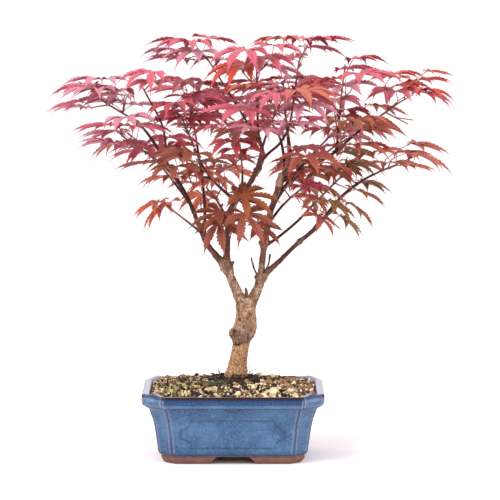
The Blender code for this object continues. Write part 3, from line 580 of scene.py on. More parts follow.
# Carries a mass on: finer twigs that lean out and up from its shoots, with smaller leaves at their tips.
# They may reach a little into the next mass, but lie across nothing that has grown before.
def fillMass(mass, grown):
    if mass["heart"][2] <= leafPlan["fineAbove"]:
        return []
    draw = np.random.RandomState(mass["seed"] + 500)
    wide = dict(mass, reach=np.array(mass["reach"]) + leafPlan["overReach"],
                space=(mass["space"][0], mass["space"][1] + leafPlan["overSpace"]))
    near = [leaf for leaf in grown if away(leaf["base"], mass["heart"]) < leafPlan["nearby"]]
    before = len(near)
    for spray, shoot in mass["shoots"].items():
        start, tip = shoot[:, :3]
        way = unit(tip - start)
        side = unit(np.cross(way, (0.2, 0.1, 1.0)))
        out = turned(side, way, draw.uniform(0.0, 2 * math.pi))
        aim = unit(way * draw.uniform(0.4, 1.0) + out + (0.0, 0.0, 0.35))
        foot = start + (tip - start) * leafPlan["fineAt"]
        length = draw.uniform(8.0, 18.0)
        line = foot + aim * np.linspace(0.3, 1.0, 4)[:, None] * length
        if not (inSpace(line, wide, shootMargin) and clearOf(line, mass["limbs"], limbSpare)):
            continue
        twig = np.column_stack(((foot, foot + aim * length), fineRadii))
        bare = len(near)
        for share, hand, turn in ((1.0, 1.0, 0.0), (1.0, -1.0, 0.0), (0.5, 1.0, math.pi / 2)):
            for _ in range(leafPlan["fineTries"]):
                leaf = growLeaf(twig, share, hand, turn, draw)
                leaf["size"] *= draw.uniform(*leafPlan["fineSize"])
                leaf["droop"] = draw.uniform(*leafPlan["fineDroop"])
                if leafFits(leaf, near, wide, leafPlan["fineApart"]) and inCrown(leaf["body"]):
                    near.append(dict(leaf, spray=spray))
                    break
        if len(near) > bare:
            mass["fine"].append(twig)
    mass["leaves"] += near[before:]
    return near[before:]


# Whether points stay inside the solids' own box, give or take a little
def inCrown(points):
    spare = leafPlan["overBox"]
    return (points > crownLow - spare).all() and (points < crownHigh + spare).all()


for index, bough in enumerate(boughs.values()):
    bough["space"] = massSpace(index)
    bough["path"] = limbPath(bough)
    bough["entry"] = entryDistance(bough)
limbBalls = limbPosts()
for bough in boughs.values():
    growMass(bough, limbBalls)
allLeaves = [leaf for bough in boughs.values() for leaf in bough["leaves"]]
print("the source's rule gave", len(allLeaves), "leaves")
for bough in boughs.values():
    allLeaves += fillMass(bough, allLeaves)

# No leaf is carried above the solids' top
for leaf in allLeaves:
    leaf["base"] = np.minimum(leaf["base"], (np.inf, np.inf, crownHigh[2] - leafPlan["underTop"]))
print("grew", len(allLeaves), "leaves in", len(boughs), "masses")

# Autumn tints, plain base colours, for each slot. The pale mauve is pink leaf colour with a painted sheen of
# sky on the upper leaves
tintPlan = dict(
    crimson_leaves=dict(mauve="#C27C8B", rose="#C05868", crimson="#AE444C", scarlet="#C04638"),
    red_leaves=dict(brick="#B5604E", orange="#C06040"),
    bronze_leaves=dict(bronze="#985836", olive="#87623C", russet="#8A4A38"),
)


# Each spray takes one of its mass's three tints with chances of 0.5, 0.3 and 0.2, and so do two
# leaves in four on their own account
def dealTints():
    for number, bough in enumerate(boughs.values()):
        draw = np.random.RandomState(60 + number)
        sprays = {}
        for leaf in bough["leaves"]:
            own, spray = draw.choice(bough["tints"].split(), 2, p=(0.5, 0.3, 0.2))
            leaf["colour"] = own if draw.uniform() < 0.5 else sprays.setdefault(leaf["spray"], spray)


dealTints()

# Sky shows through these masses where these leaves, by number, would close them
skyGaps = dict(low_front=(3, 7, 8), high_right=(4, 5, 9, 10, 12), top_left=(7,))
closing = [id(boughs[name]["leaves"][number]) for name, numbers in skyGaps.items() for number in numbers]
allLeaves = [leaf for leaf in allLeaves if id(leaf) not in closing]

# A lobe's stations: where its middle line is read, and the teeth between them, as shares of the lobe's
# length and half widths in leaf sizes. Each tooth runs out and forward, then steps back in.
lobeMiddles = (0.475, 0.685, 0.92, 1.05, 1.26)
lobeTeeth = (((0.46, 0.104), (0.475, 0.078)),
             ((0.56, 0.120), (0.575, 0.090), (0.67, 0.112), (0.685, 0.078)),
             ((0.78, 0.090), (0.795, 0.058), (0.905, 0.056), (0.92, 0.031)),
             ((1.05, 0.014),),
             ())


# The leaf pattern as rows of angle, share along the lobe, lobe length and side offset, with its faces in
# groups of like corner counts. Each lobe has a line down its middle and a toothed edge to each side;
# neighbours share the hollow between them, and two short lobes close the pattern at the heel.
def leafPattern():
    rows = [(0.0, 0.0, 1.0, 0.0)]
    faces = {}
    lobes = ((-heelTurn, heelLength), *leafLobes, (heelTurn, heelLength))

    def addRow(*row):
        rows.append(row)
        return len(rows) - 1

    def addFace(*corners):
        faces.setdefault(len(corners), []).append(corners)

    hollows = []
    for (angleA, lengthA), (angleB, lengthB) in zip(lobes[:-1], lobes[1:]):
        short = min(lengthA, lengthB)
        hollows.append(addRow((angleA + angleB) / 2, (0.19 if short > 0.5 else 0.07) / short, short, 0.0))
    for i, (angle, length) in enumerate(lobes):
        small = length < 0.5
        sides = {-1: hollows[i - 1] if i else 0, 1: hollows[i] if i + 1 < len(lobes) else 0}
        middle = addRow(angle, 0.25 if small else 0.20 / length, length, 0.0)
        if sides[-1]:
            addFace(0, sides[-1], middle)
        if sides[1]:
            addFace(0, middle, sides[1])
        middles, teeth = ((0.55, 1.0), (((0.55, 0.052),), ())) if small else (lobeMiddles, lobeTeeth)
        for share, edge in zip(middles, teeth):
            after = addRow(angle, share, length, 0.0)
            for hand in (-1, 1):
                points = [addRow(angle, place, length, hand * half) for place, half in edge]
                loop = [middle, sides[hand]] + points + [after]
                addFace(*(loop if hand < 0 else loop[::-1]))
                sides[hand] = points[-1] if points else after
            middle = after
    return np.array(rows), [np.array(group) for group in faces.values()]


# Leaf axes turned part of the way towards level, the more the higher the leaf stands. Low leaves lean out
# to the light instead, and each leaf's middle lobe sweeps a little away from the trunk to the left or right.
def levelled(axes, base):
    out = np.array((base[0] - 8.0, base[1], 0.0))
    out = out / max(np.linalg.norm(out), 30.0)
    swept = out * (1.0, 0.2, 0.0)
    level = np.interp(base[2], leafPlan["levelAt"], leafPlan["level"])
    lean = np.interp(base[2], leafPlan["leanAt"], leafPlan["lean"])
    up = unit(axes[2] + (0.0, 0.0, level) + out * lean)
    middle = axes[0] + swept * leafPlan["sweep"]
    middle = unit(middle - up * np.dot(middle, up))
    return np.stack((middle, np.cross(up, middle), up))


# Sizes of leaves as drawn, a little larger in the upper crown
def leafSizes(leaves):
    size, height = np.array([(leaf["size"], leaf["base"][2]) for leaf in leaves]).T
    return size * np.interp(height, leafPlan["grownAt"], leafPlan["grown"])


# Points of many leaves on the pattern. Along a lobe of length L a point at share s lies out by
# L s (1 - pull s s) and up by L (lift s - droop s s); its side offset is square to the lobe, and edges
# stand a little higher than the middle, so each lobe is a shallow trough. A leaf that would rise past
# the solids' box is laid flatter, and one that would reach too far past its sides is drawn smaller.
def leafPoints(leaves, pattern, draw):
    angle, share, length, side = pattern.T
    size = leafSizes(leaves)[:, None]
    base = np.array([leaf["base"] for leaf in leaves])
    drop = np.interp(base[:, 2], leafPlan["levelAt"], leafPlan["drop"])
    drop = (np.array([leaf["droop"] for leaf in leaves]) * drop)[:, None]
    axes = np.array([levelled(leaf["axes"], leaf["base"]) for leaf in leaves])
    waver = draw.uniform(-1.0, 1.0, (len(leaves), 7))
    lobeIndex = np.rint((angle / heelTurn + 1) * 3).astype(int)
    folded = draw.uniform(*leafPlan["fold"], (len(leaves), 1))
    turn = np.radians(angle * folded + 4.0 * waver[:, lobeIndex] * (share > 0.35))
    long = size * length
    out = long * share * (1 - lobePull * share ** 2)
    high = long * (1.4 * lobeLift * share - lobeDroop * drop * (1 + 0.2 * waver[:, lobeIndex]) * share ** 2)
    high = high + size * np.abs(side) * 0.6
    bend = size * side
    local = np.stack((out * np.cos(turn) - bend * np.sin(turn),
                      out * np.sin(turn) + bend * np.cos(turn), high), axis=-1)
    reach = np.einsum("nvk,nkx->nvx", local, axes)
    headroom = crownHigh[2] + 0.5 - base[:, 2]
    reach[..., 2] *= np.clip(headroom / np.maximum(reach[..., 2].max(axis=1), 0.5), 0.5, 1.0)[:, None]
    low = crownLow - leafPlan["past"] - base
    high = crownHigh + leafPlan["past"] - base
    room = np.minimum(high / np.maximum(reach.max(axis=1), 1.0), low / np.minimum(reach.min(axis=1), -1.0))
    return base[:, None] + reach * np.clip(room.min(axis=1), 0.5, 1.0)[:, None, None]


leafRows, leafFaces = leafPattern()


# Veins of a leaf in millimetres: how far apart side veins stand, their slant, the rib's half width and height
veinPlan = dict(every=2.4, slant=1.2, ribWide=0.7, ribHigh=2.2, depth=0.28)


# Leaf: thin living blade with a low satin gloss; one plain tint for each spray of the crown. The veins show
# only as relief: a rib down each lobe, and side veins that slant forward from it, coarser than life because
# real ones would be too fine to show. Their height is the rib's and half a sine of the slanted distance.
def leafMaterial(name, colour):
    plan = veinPlan
    material, tree = startMaterial(name)
    slant = addNode(tree, "Math", {0: "fromRib", 1: -plan["slant"], 2: "alongLobe"}, operation="MULTIPLY_ADD")
    turns = addNode(tree, "Math", {0: slant, 1: 2 * math.pi / plan["every"]}, operation="MULTIPLY")
    wave = addNode(tree, "Math", {0: turns}, operation="SINE")
    rib = {"Value": "fromRib", "From Max": plan["ribWide"], "To Min": plan["ribHigh"], "To Max": 0.0}
    height = addNode(tree, "Math", {0: wave, 1: 0.5, 2: addNode(tree, "MapRange", rib)},
                     operation="MULTIPLY_ADD")
    setShader(tree, colour, 0.5, 1.36, (height, plan["depth"], 0.8))
    return material


# Leaves of each tint in one piece, with marks for their veins: a point's distance along its lobe and from
# its rib, in millimetres
def makeLeaves():
    draw = np.random.RandomState(21)
    for slotName, tints in tintPlan.items():
        for tint, colour in tints.items():
            leaves = [leaf for leaf in allLeaves if leaf["colour"] == tint]
            points = leafPoints(leaves, leafRows, draw)
            faceSets = copyFaces(leafFaces, len(leaves), len(leafRows))
            sizes = leafSizes(leaves)[:, None]
            marks = {"alongLobe": sizes * leafRows[:, 1] * leafRows[:, 2],
                     "fromRib": sizes * np.abs(leafRows[:, 3])}
            makePiece(tint + "Leaves", points, faceSets, leafMaterial(tint + "MapleLeaf", colour), slotName,
                      leafNodes, smooth=False, marks=marks)


# Ridges of bark, 1 on a crest and -1 in a crack: noise folded at zero, drawn out along the height
def ridged(points, squash, size, shift=0.0):
    return 1 - 2 * np.abs(noiseAt(points * (1, 1, squash) + shift, size))


# Bark: what a user would change. low and lowOther colour the stem below the graft, worn and wornPale the
# rugged wood above it, young and youngOther the smooth upper limbs; dark fills cracks and scars, seam lies
# between the scales, which are scale millimetres wide
barkPlan = dict(low="#BC8B5E", lowOther="#DCB084", worn="#9A785E", wornPale="#EACFB4", dark="#3B271D",
                seam="#82583A", young="#301513", youngOther="#582F2D", scale=1.7)


# Bark: matt, in small scales under 2 mm wide, ochre near the soil and grey-tan above, with dark cracks and
# pale patches; on the upper limbs it is smooth and purple-brown
def barkMaterial(name):
    plan = barkPlan
    material, tree = startMaterial(name)
    fine = blotches(tree, 0.8, 5.0, (1.0, 1.0, 0.85))
    patches = blotches(tree, 2.2, 4.0, (1.0, 1.0, 0.5))
    lower = blend(tree, plan["low"], plan["lowOther"], blotches(tree, 5.0), 0.35, 0.65)
    upper = blend(tree, plan["worn"], plan["wornPale"], patches, 0.42, 0.68)
    scales = {"Vector": stretched(tree, (1.0, 1.0, 0.7)), "Scale": 1000.0 / plan["scale"]}
    scales = addNode(tree, "TexVoronoi", scales, feature="DISTANCE_TO_EDGE")
    seamed = blend(tree, plan["seam"], blend(tree, lower, upper, "worn"), scales, 0.0, 0.17)
    cracked = blend(tree, plan["dark"], seamed, fine, 0.38, 0.60)
    scarred = blend(tree, blend(tree, seamed, cracked, 0.6), plan["dark"], "scar")
    young = blend(tree, plan["young"], plan["youngOther"], blotches(tree, 5.0), 0.35, 0.65)
    setShader(tree, blend(tree, scarred, young, "youth"), 0.85, 1.45, (fine, 0.6, 0.9))
    return material


# Trunk: what a user would change. top: how the trunk closes between the two limbs, as height, middle and
# half widths; pits: small hollows with their reach; graft: height of the old graft and its slant to the
# right and to the back; swirl and whorl: dark turns of the grain round the knob; wound: a pale scar's x and
# heights
trunkPlan = dict(around=128, tall=260, rough=0.5, rougher=1.15, rootLobes=5, rootDepth=0.14,
                 knobAt=(2.8, -2.0, 106.6), knobWay=(-11.6, -1.6, 3.0), knobReach=4.0, knobPush=7.2,
                 graft=(100.4, 0.28, 0.4), swirl=((4.5, -7.0, 105.0), 6.0), whorl=((-2.4, -5.0, 107.4), 3.4),
                 wound=(17.2, 109.0, 124.0),
                 pits=(((14.2, -6.0, 123.5), 1.8), ((2.0, -6.5, 109.0), 1.9), ((9.5, -8.0, 113.0), 1.3),
                       ((-4.6, -2.5, 108.5), 1.7), ((6.0, -7.2, 118.5), 1.2)),
                 top=((130.0, 10.8, 0.0, 7.0, 6.3), (134.0, 11.4, 0.0, 6.3, 5.4),
                      (136.6, 11.9, 0.0, 4.4, 3.8), (138.0, 12.0, 0.0, 1.5, 1.5)))


# Trunk: an oval at each height whose middle and half widths run on smooth curves through the stations,
# lobed where the roots flare and bulged at the knob. Its bark is nearly smooth below the old graft and
# rugged above it, where the upper stem laps over the lower one in a slanting dark fold.
def makeTrunk():
    plan = trunkPlan
    rows = [row for row in trunkStations if row[0] < 128.0] + list(plan["top"])
    stations = smoothPath(np.array(rows)[:, (1, 2, 0, 3, 4)], 1.0)
    height = np.linspace(stations[0, 2], stations[-1, 2], plan["tall"])
    x, y, wide, deep = (np.interp(height, stations[:, 2], stations[:, k])[:, None] for k in (0, 1, 3, 4))
    height = height[:, None]
    turn = np.arange(plan["around"])[None] * 2 * math.pi / plan["around"]
    flare = np.clip(1 - (height - soilTop) / 13.0, 0.0, None)
    lobes = 1.04 + 0.06 * flare + plan["rootDepth"] * flare * np.cos(plan["rootLobes"] * turn + 0.6)
    lobes = lobes + 0.025 * np.cos(3 * turn + height / 14.0)
    outward = np.dstack((np.cos(turn) + 0 * height, np.sin(turn) + 0 * height, 0 * turn * height))
    points = np.dstack((x + wide * lobes * np.cos(turn), y + deep * lobes * np.sin(turn), height + 0 * turn))
    knobWay = unit(plan["knobWay"])
    near = bell(away(points, np.array(plan["knobAt"]) - knobWay), plan["knobReach"])
    points = points + knobWay * (plan["knobPush"] * near)[..., None]
    waver = 1.6 * noiseAt(points * (1, 1, 0.3), 3.0)
    graftAt, slantX, slantY = plan["graft"]
    fold = graftAt + slantX * (points[..., 0] - 6.0) + slantY * points[..., 1] + waver
    above = ease(points[..., 2] - fold, -0.8, 1.4)
    crease = bell(points[..., 2] - fold, 0.8) * np.clip(0.7 + noiseAt(points, 4.0), 0.2, 1.0)
    swirlAt, swirlReach = plan["swirl"]
    swirl = bell(away(points * (0.6, 1, 1), np.array(swirlAt) * (0.6, 1, 1)), swirlReach)
    whorlAt, whorlReach = plan["whorl"]
    whorl = away(points, whorlAt)
    whorl = bell(whorl - whorlReach, 0.8) + bell(whorl, 1.0)
    rugged = plan["rough"] + (plan["rougher"] - plan["rough"]) * above
    ridges = ridged(points, 0.45, 3.2)
    grain = ridged(points, 0.7, 1.5, 40.0)
    relief = 0.40 * ridges + noiseAt(points, 5.0) * 0.5 + 0.30 * grain + noiseAt(points, 0.7) * 0.18
    pits = sum(bell(away(points, spot), reach) for spot, reach in plan["pits"])
    depth = relief * rugged * (1 + 0.8 * swirl) + 0.7 * above - 1.2 * crease - 1.2 * pits - 0.7 * whorl
    points = points + outward * depth[..., None]
    woundAt, low, high = plan["wound"]
    wound = ease(points[..., 2], low - 1, low + 1) * (1 - ease(points[..., 2], high - 1, high + 1))
    wound = wound * bell(points[..., 0] - woundAt, 1.5)
    cracks = ease(-ridges, -0.1, 0.7) * (0.25 + 0.5 * above) + ease(-grain, 0.1, 0.9) * (0.2 + 0.1 * above)
    scar = 0.8 * crease + 0.9 * pits + 0.6 * whorl + cracks * (1 + swirl) + 0.5 * swirl
    scar = scar + 0.35 * bell(points[..., 2] - fold - 2.4, 1.8)
    scar = np.clip(scar, 0.0, 1.0) * (1 - wound)
    worn = np.clip(above * (0.8 + 0.4 * noiseAt(points, 6.0)), 0.0, 1.0)
    marks = {"scar": scar, "youth": 0 * scar, "worn": worn}
    faceSets = tubeFaces(plan["tall"], plan["around"])
    makePiece("trunkBark", points, faceSets, barkMaterial("maturedMapleBark"), "maple_bark", ["trunk"],
              marks=marks)


mainLimbs = ("far_left", "far_right", "top_middle", "heart_right")

# Roots of the two fork limbs, deep inside the trunk, so that they part from it in a smooth crotch
forkRoots = dict(
    far_left=((11, -0.2, 120, 5), (9.8, -0.1, 128, 5.7), (6.9, 0, 134.5, 5.1), (4.2, -0.3, 140, 4.5),
     (1.2, -0.7, 147, 4)),
    far_right=((12, -0.2, 120, 5), (13.4, -0.1, 128, 5.4), (16.4, 0, 134.5, 4.8), (18.9, 0, 140, 4.4),
     (22, 0, 147, 3.9)),
)

# Knuckles where old shoots were cut from the limbs: place, swelling and reach along the limb
knuckles = (
    ((-5.6, -2, 164.5), 0.55, 4.5), ((24.6, 0, 153.6), 0.35, 4), ((27, 4.6, 184), 0.55, 4), ((40.6, 10, 236),
    0.5, 3.5), ((-2.6, 4.6, 205), 0.3, 4), ((57.1, -2, 186), 0.5, 2.6), ((71.7, -2, 198.3), 0.4, 3),
    ((-30, 2, 202), 0.3, 3), ((20, -4, 247), 0.4, 3.5),
)


# Limbs: rings carried along each bough's way, flared where they leave their source, swollen at the knuckles
# and rough with noise. Gives the rings, their radii and how near each lies to a knuckle.
def limbRings(name, sides, step, rough):
    whole = way = boughs[name]["path"]
    if name in forkRoots:
        way = np.vstack((forkRoots[name], whole[whole[:, 2] > 151.0]))
    end = boughs[name]["entry"] + along(way)[-1] - along(whole)[-1]
    smooth = smoothPath(way, step)
    reach = along(smooth)
    path = smooth[reach <= end + 1.0].copy()
    if name not in forkRoots:
        path[:, 3] *= 1 + 0.45 * bell(reach[:len(path)] - 2.0, 3.5)
    swell = [size * bell(away(path[:, :3], spot), wide) for spot, size, wide in knuckles]
    swell = np.sum(swell, axis=0) if name in mainLimbs else 0 * path[:, 3]
    path[:, 3] *= 1 + swell
    rings = tubeRings(path[None], sides, np.array((0.05, 0.98, 0.15)))[0]
    middle = path[:, None, :3]
    outward = unit(rings - middle)
    relief = noiseAt(rings, 3.0) * 0.6 + noiseAt(rings, 1.0) * 0.35 + 0.35 * ridged(rings, 0.5, 2.6)
    relief = relief * rough * (1 + 3 * swell[:, None]) * np.minimum(path[:, 3:4], 3.5) / 3.0
    return rings + outward * relief[..., None], path[:, 3], swell


# Limbs: sides of a ring, its distance from the next and the bark's relief, for old limbs and young stems
limbPlan = {True: (22, 0.8, 0.55), False: (10, 2.0, 0.2)}

# Height at which each old limb starts to turn young and purple, and how far it turns
youthPlan = dict(others=(156.0, 0.85), far_right=(149.0, 0.9), heart_right=(156.0, 0.55))


# Limbs: the old ones in one piece and the young stems in another. A limb is young, smooth and purple where
# it is thin or stands high, and its knuckles stay old.
def makeLimbs():
    kinds = {"limbBark": [], "youngStems": []}
    for name in boughs:
        old = name in mainLimbs
        sides = limbPlan[old][0]
        rings, radii, swell = limbRings(name, *limbPlan[old])
        thin = 1 - ease(radii + 0.25 * np.sin(np.arange(len(radii)) / 5.0), 1.6, 2.6)
        start, most = youthPlan.get(name, youthPlan["others"])
        tall = most * ease(rings[..., 2].mean(axis=1), start, start + 19.0)
        youth = np.clip(np.maximum(thin, tall) - 1.6 * swell, 0.0, 1.0) if old else 1 + 0 * thin
        kinds["limbBark" if old else "youngStems"].append(
            ("bough_" + name, np.repeat(youth, sides), np.repeat(swell, sides),
             (rings.reshape(-1, 3), tubeFaces(len(rings), sides))))
    for (kind, parts), slotName in zip(kinds.items(), ("maple_bark", "young_bark")):
        nodes, youths, swells, sets = zip(*parts)
        points, faceSets = joinSets(sets)
        cracks = ease(-noiseAt(points * (1, 1, 0.5), 2.6), 0.1, 0.7) * 0.7
        scar = np.clip(cracks + np.concatenate(swells) * (0.4 + noiseAt(points, 2.0)), 0.0, 1.0)
        marks = {"scar": scar, "youth": np.concatenate(youths), "worn": 0 * scar + 1}
        makePiece(kind, points, faceSets, barkMaterial(kind + "Bark"), slotName, nodes, marks=marks)


# Small dead twigs and stubs near the fork, as points with radii, and how pale the cut wood of each is
stubPlan = (
    ((11.6, -0.6, 135, 1.9), (11.4, -1.6, 141, 1.5), (10.8, -2.6, 145.4, 1.1), (10.6, -2.8, 146, 0.5)),
    ((-5.6, -2.2, 165, 1.9), (-2.4, -3.2, 166.4, 1.7), (0.6, -4, 168.4, 1.3), (0.9, -4.1, 168.8, 0.6)),
    ((23, -0.6, 152, 1), (27.6, -2, 160.5, 0.9), (30.2, -2.4, 166, 0.8), (31.4, -2.4, 174.8, 0.9)),
    ((23, 0.2, 153, 1.1), (19.8, -1.6, 158, 0.9), (17.4, -2.6, 164, 0.8), (15.4, -3.2, 172, 0.6)),
    ((28.4, 5.6, 183, 2.2), (26.2, 3.6, 186, 2.4), (25, 2.8, 189, 1.9), (24.8, 2.6, 190, 0.9)),
    ((38.6, 8.6, 232, 2.3), (39.6, 7.6, 238, 2.2), (40.6, 6.8, 243, 2), (40.8, 6.6, 243.8, 1.2)),
)
stubLook = dict(cut=(0.1, 0.2, 0.0, 0.0, 0.6, 0.9), tones=("#35241D", "#6E5240"), cutTone="#C29C80")


# Stubs: smooth tubes through their points, pushed in and out by noise. Dead wood is matt and dark brown, and
# pale pink where it was cut.
def makeStubs():
    smooth = [smoothPath(stub, 1.0) for stub in stubPlan]
    paths = np.array([atDistance(path, np.linspace(0.0, along(path)[-1] - 0.01, 8)) for path in smooth])
    points, faceSets = manyTubes(paths, 9)
    points = points + 0.3 * noiseAt(points, 1.6)[:, None]
    cut = np.repeat(stubLook["cut"], len(points) // len(stubPlan)) * (0.8 + 0.3 * noiseAt(points, 1.5))
    material = twoTone("deadWood", 0.9, 1.45, stubLook["tones"], (2.0,), (0.8, 3.0, 0.4, 0.8),
                       ("cut", stubLook["cutTone"]))
    makePiece("deadStubs", points, faceSets, material, "maple_bark", marks={"cut": cut})


# Twigs and stalks: tones, how much thinner shoots are than in the solids, and a stalk's rise, radius at its
# ends and loss of radius in the middle
twigPlan = dict(tones=("#5E3536", "#965248"), thinner=0.75)
stalkPlan = dict(tones=("#B8585A", "#C87058"), rise=0.9, radius=0.48, loss=0.16)


# Twigs in the crown: stems to each mass's heart, shoots and finer twigs, all as thin tapering tubes. Young
# twigs are smooth and satin, purple-brown to rust.
def makeTwigs():
    stems = np.array([bough["stem"] for bough in boughs.values()])
    share = np.linspace(0.0, 1.0, 5)[None, :, None]
    shoots = np.array([twig for bough in boughs.values() for twig in bough["shoots"].values()])
    fine = np.array([twig for bough in boughs.values() for twig in bough["fine"]])
    shoots, fine = (twigs[:, :1] + (twigs[:, 1:] - twigs[:, :1]) * share for twigs in (shoots, fine))
    shoots[..., 3] *= twigPlan["thinner"]
    points, faceSets = joinSets([manyTubes(stems, 8), manyTubes(shoots, 7), manyTubes(fine, 6)])
    material = twoTone("youngMapleTwig", 0.5, 1.45, twigPlan["tones"], (7.0,))
    makePiece("crownTwigs", points, faceSets, material, "young_bark", leafNodes)


# Leaf stalks: thin, from the twig to the leaf's heel, with a slight rise in the middle; satin, pink to
# orange-red
def makeStalks():
    node, base = (np.array([leaf[key] for leaf in allLeaves])[:, None] for key in ("node", "base"))
    share = np.linspace(0.0, 1.0, 5)[None, :, None]
    line = node + (base - node) * share
    arch = np.sin(math.pi * share)
    line[..., 2:] += stalkPlan["rise"] * arch
    radii = np.broadcast_to(stalkPlan["radius"] - stalkPlan["loss"] * arch, line[..., :1].shape)
    points, faceSets = manyTubes(np.concatenate((line, radii), axis=-1), 5, (0.11, 0.23, 0.97))
    material = twoTone("leafStalk", 0.4, 1.42, stalkPlan["tones"], (20.0,))
    makePiece("leafStalks", points, faceSets, material, "crimson_leaves", leafNodes)


makeTrunk()
makeLimbs()
makeStubs()
makeTwigs()
makeStalks()
makeLeaves()


# Pot: an oblong with cut corners. Each row of a profile is an inset from the lip and a height. panel: its
# half width on long and short sides, half height, middle height and scoop at its corners. lineAt: height of
# the bracketed line under the lip. lipAt and footAt: heights between which the lip and the foot's edge fade.
# pinch, ear, sag and rise: how far the lip is moved at the corners. ridge, line and groove: relief in mm.
potPlan = dict(width=155.0, depth=118.0, corner=17.0, cornerLoss=0.38, edgeRound=1.6,
               longCount=120, shortCount=86, cutCount=22, arcCount=5, lineAt=49.4, lipAt=(49.5, 51.5),
               footAt=(8.0, 10.5), rimAt=58.0, panel=(44.0, 27.0, 12.2, 26.2, 8.5),
               pinch=1.7, ear=0.9, sag=2.2, rise=1.7, ridge=0.55, line=0.55, groove=0.5,
               side=((15.2, 7.4), (14.4, 9.3), (13.2, 17.2), (12.0, 26.3), (10.5, 35.3), (8.6, 41.3),
                     (7.2, 45.6), (6.2, 48.2), (4.9, 49.3), (2.4, 49.9), (0.9, 51.1), (0.15, 53.2),
                     (0.0, 56.0), (0.05, 58.0)),
               rim=((0.35, 59.2), (1.2, 59.85), (2.2, 60.0), (4.0, 59.95), (5.6, 59.7), (6.5, 58.9),
                    (7.0, 57.0)),
               inside=((8.4, 53.0), (13.0, 44.0), (18.0, 28.0), (20.5, 13.0)),
               foot=((30.5, 6.5), (28.8, 1.0), (28.2, 0.15), (27.4, 0.0), (20.4, 0.0), (19.3, 0.35),
                     (16.9, 3.3), (16.5, 7.3), (16.6, 8.4), (19.0, 8.7)),
               archLong=(40.0, 28.0), archShort=(30.0, 20.0), archTop=6.4,
               glazeMid="#304F73", glazeLight="#466C8D", glazeDeep="#203C5F", glazeSpeck="#5C7DA4",
               # The rim colour on the next line is the pale of thin glaze on the rim, and is also used for
               # painted highlights by the corners, on the ears and on the bead
               poolDark="#01203A", poolBlue="#08508A", rimPaleAndHighlight="#9290AC", breakDark="#21121A",
               clay=("#66463B", "#7C5547"))


# Outlines of the pot, one for each inset: straight sides with quarter turns at the eight corners. Gives the
# points, how far each lies from the middle of its side and from the nearest corner, outward directions,
# and the side's number (0 right, 2 back, 4 left, 6 front, odd numbers for the cut corners).
def potOutlines(insets):
    plan = potPlan
    a = plan["width"] / 2 - insets
    b = plan["depth"] / 2 - insets
    c = plan["corner"] - plan["cornerLoss"] * insets
    pairs = ((a, -b + c), (a, b - c), (a - c, b), (-a + c, b),
             (-a, b - c), (-a, -b + c), (-a + c, -b), (a - c, -b))
    corners = np.stack([np.stack(pair, axis=-1) for pair in pairs], axis=1)
    ways = np.roll(corners, -1, axis=1) - corners
    spans = np.linalg.norm(ways, axis=-1, keepdims=True)
    ways = ways / spans
    normals = np.stack((ways[..., 1], -ways[..., 0]), axis=-1)
    rounding = plan["edgeRound"]
    t = (np.arange(1, plan["arcCount"] + 1) / (plan["arcCount"] + 1))[None, :, None]
    counts = [plan[key] for key in ("shortCount", "cutCount", "longCount", "cutCount")] * 2
    rows = []
    for i, count in enumerate(counts):
        here, after = [i], [(i + 1) % 8]
        way, span, normal = ways[:, here], spans[:, here], normals[:, here]
        run = rounding + np.linspace(0.0, 1.0, count)[None, :, None] * (span - 2 * rounding)
        spots = corners[:, here] + way * run
        rows.append((spots, (run - span / 2)[..., 0], np.minimum(run, span - run)[..., 0],
                     np.broadcast_to(normal, spots.shape), np.full((1, count), i)))
        arc = corners[:, after] - way * rounding * (1 - t) ** 2 + ways[:, after] * rounding * t ** 2
        mixed = normal * (1 - t) + normals[:, after] * t
        rows.append((arc, np.broadcast_to(span[..., 0] / 2, arc.shape[:2]),
                     np.abs(t[..., 0] - 0.5) * 2 * rounding + 0 * span[..., 0],
                     unit(mixed),
                     np.where(t[..., 0] < 0.5, i, after)))
    return [np.concatenate(values, axis=1) for values in zip(*rows)]


# Signed distance from a panel with scooped corners: a box less a circle at each of its corners
def panelDistance(across, up, halfWide, halfTall, scoop):
    dx = np.abs(across) - halfWide
    dz = np.abs(up) - halfTall
    box = np.minimum(np.maximum(dx, dz), 0.0) + np.hypot(np.maximum(dx, 0.0), np.maximum(dz, 0.0))
    return np.maximum(box, scoop - np.hypot(dx, dz))


# Glazed stoneware: glossy blue glaze that pools deep under the lip, breaks brown over sharp edges and lies
# pale on the rim, mottled by fine crystals; the same pale colour is also laid as painted highlights beside
# the corner ridges, at the lip's ends, on the ears and along the bead
def glazeMaterial():
    plan = potPlan
    material, tree = startMaterial("glazedStoneware")
    speck = blotches(tree, 0.9, 2.0)
    broad = blend(tree, plan["glazeMid"], plan["glazeLight"], blotches(tree, 12.0), 0.38, 0.66)
    mottled = blend(tree, broad, plan["glazeSpeck"], speck, 0.50, 0.90)
    clouded = blend(tree, plan["glazeDeep"], mottled, speck, 0.15, 0.42)
    band = blend(tree, plan["poolDark"], plan["poolBlue"], speck, 0.30, 0.90)
    # The pale mark lays the rim colour: partly thin glaze on the rim, partly painted highlights by the
    # corners, on the ears and on the bead
    rim = blend(tree, blend(tree, clouded, band, "pool"), plan["rimPaleAndHighlight"], "pale")
    broken = blend(tree, rim, plan["breakDark"], "brown")
    setShader(tree, broken, 0.18, 1.45, (blotches(tree, 3.0, 2.0), 0.25, 0.35),
              {"Specular IOR Level": 0.3, "Coat Weight": 0.1, "Coat Roughness": 0.06})
    return material
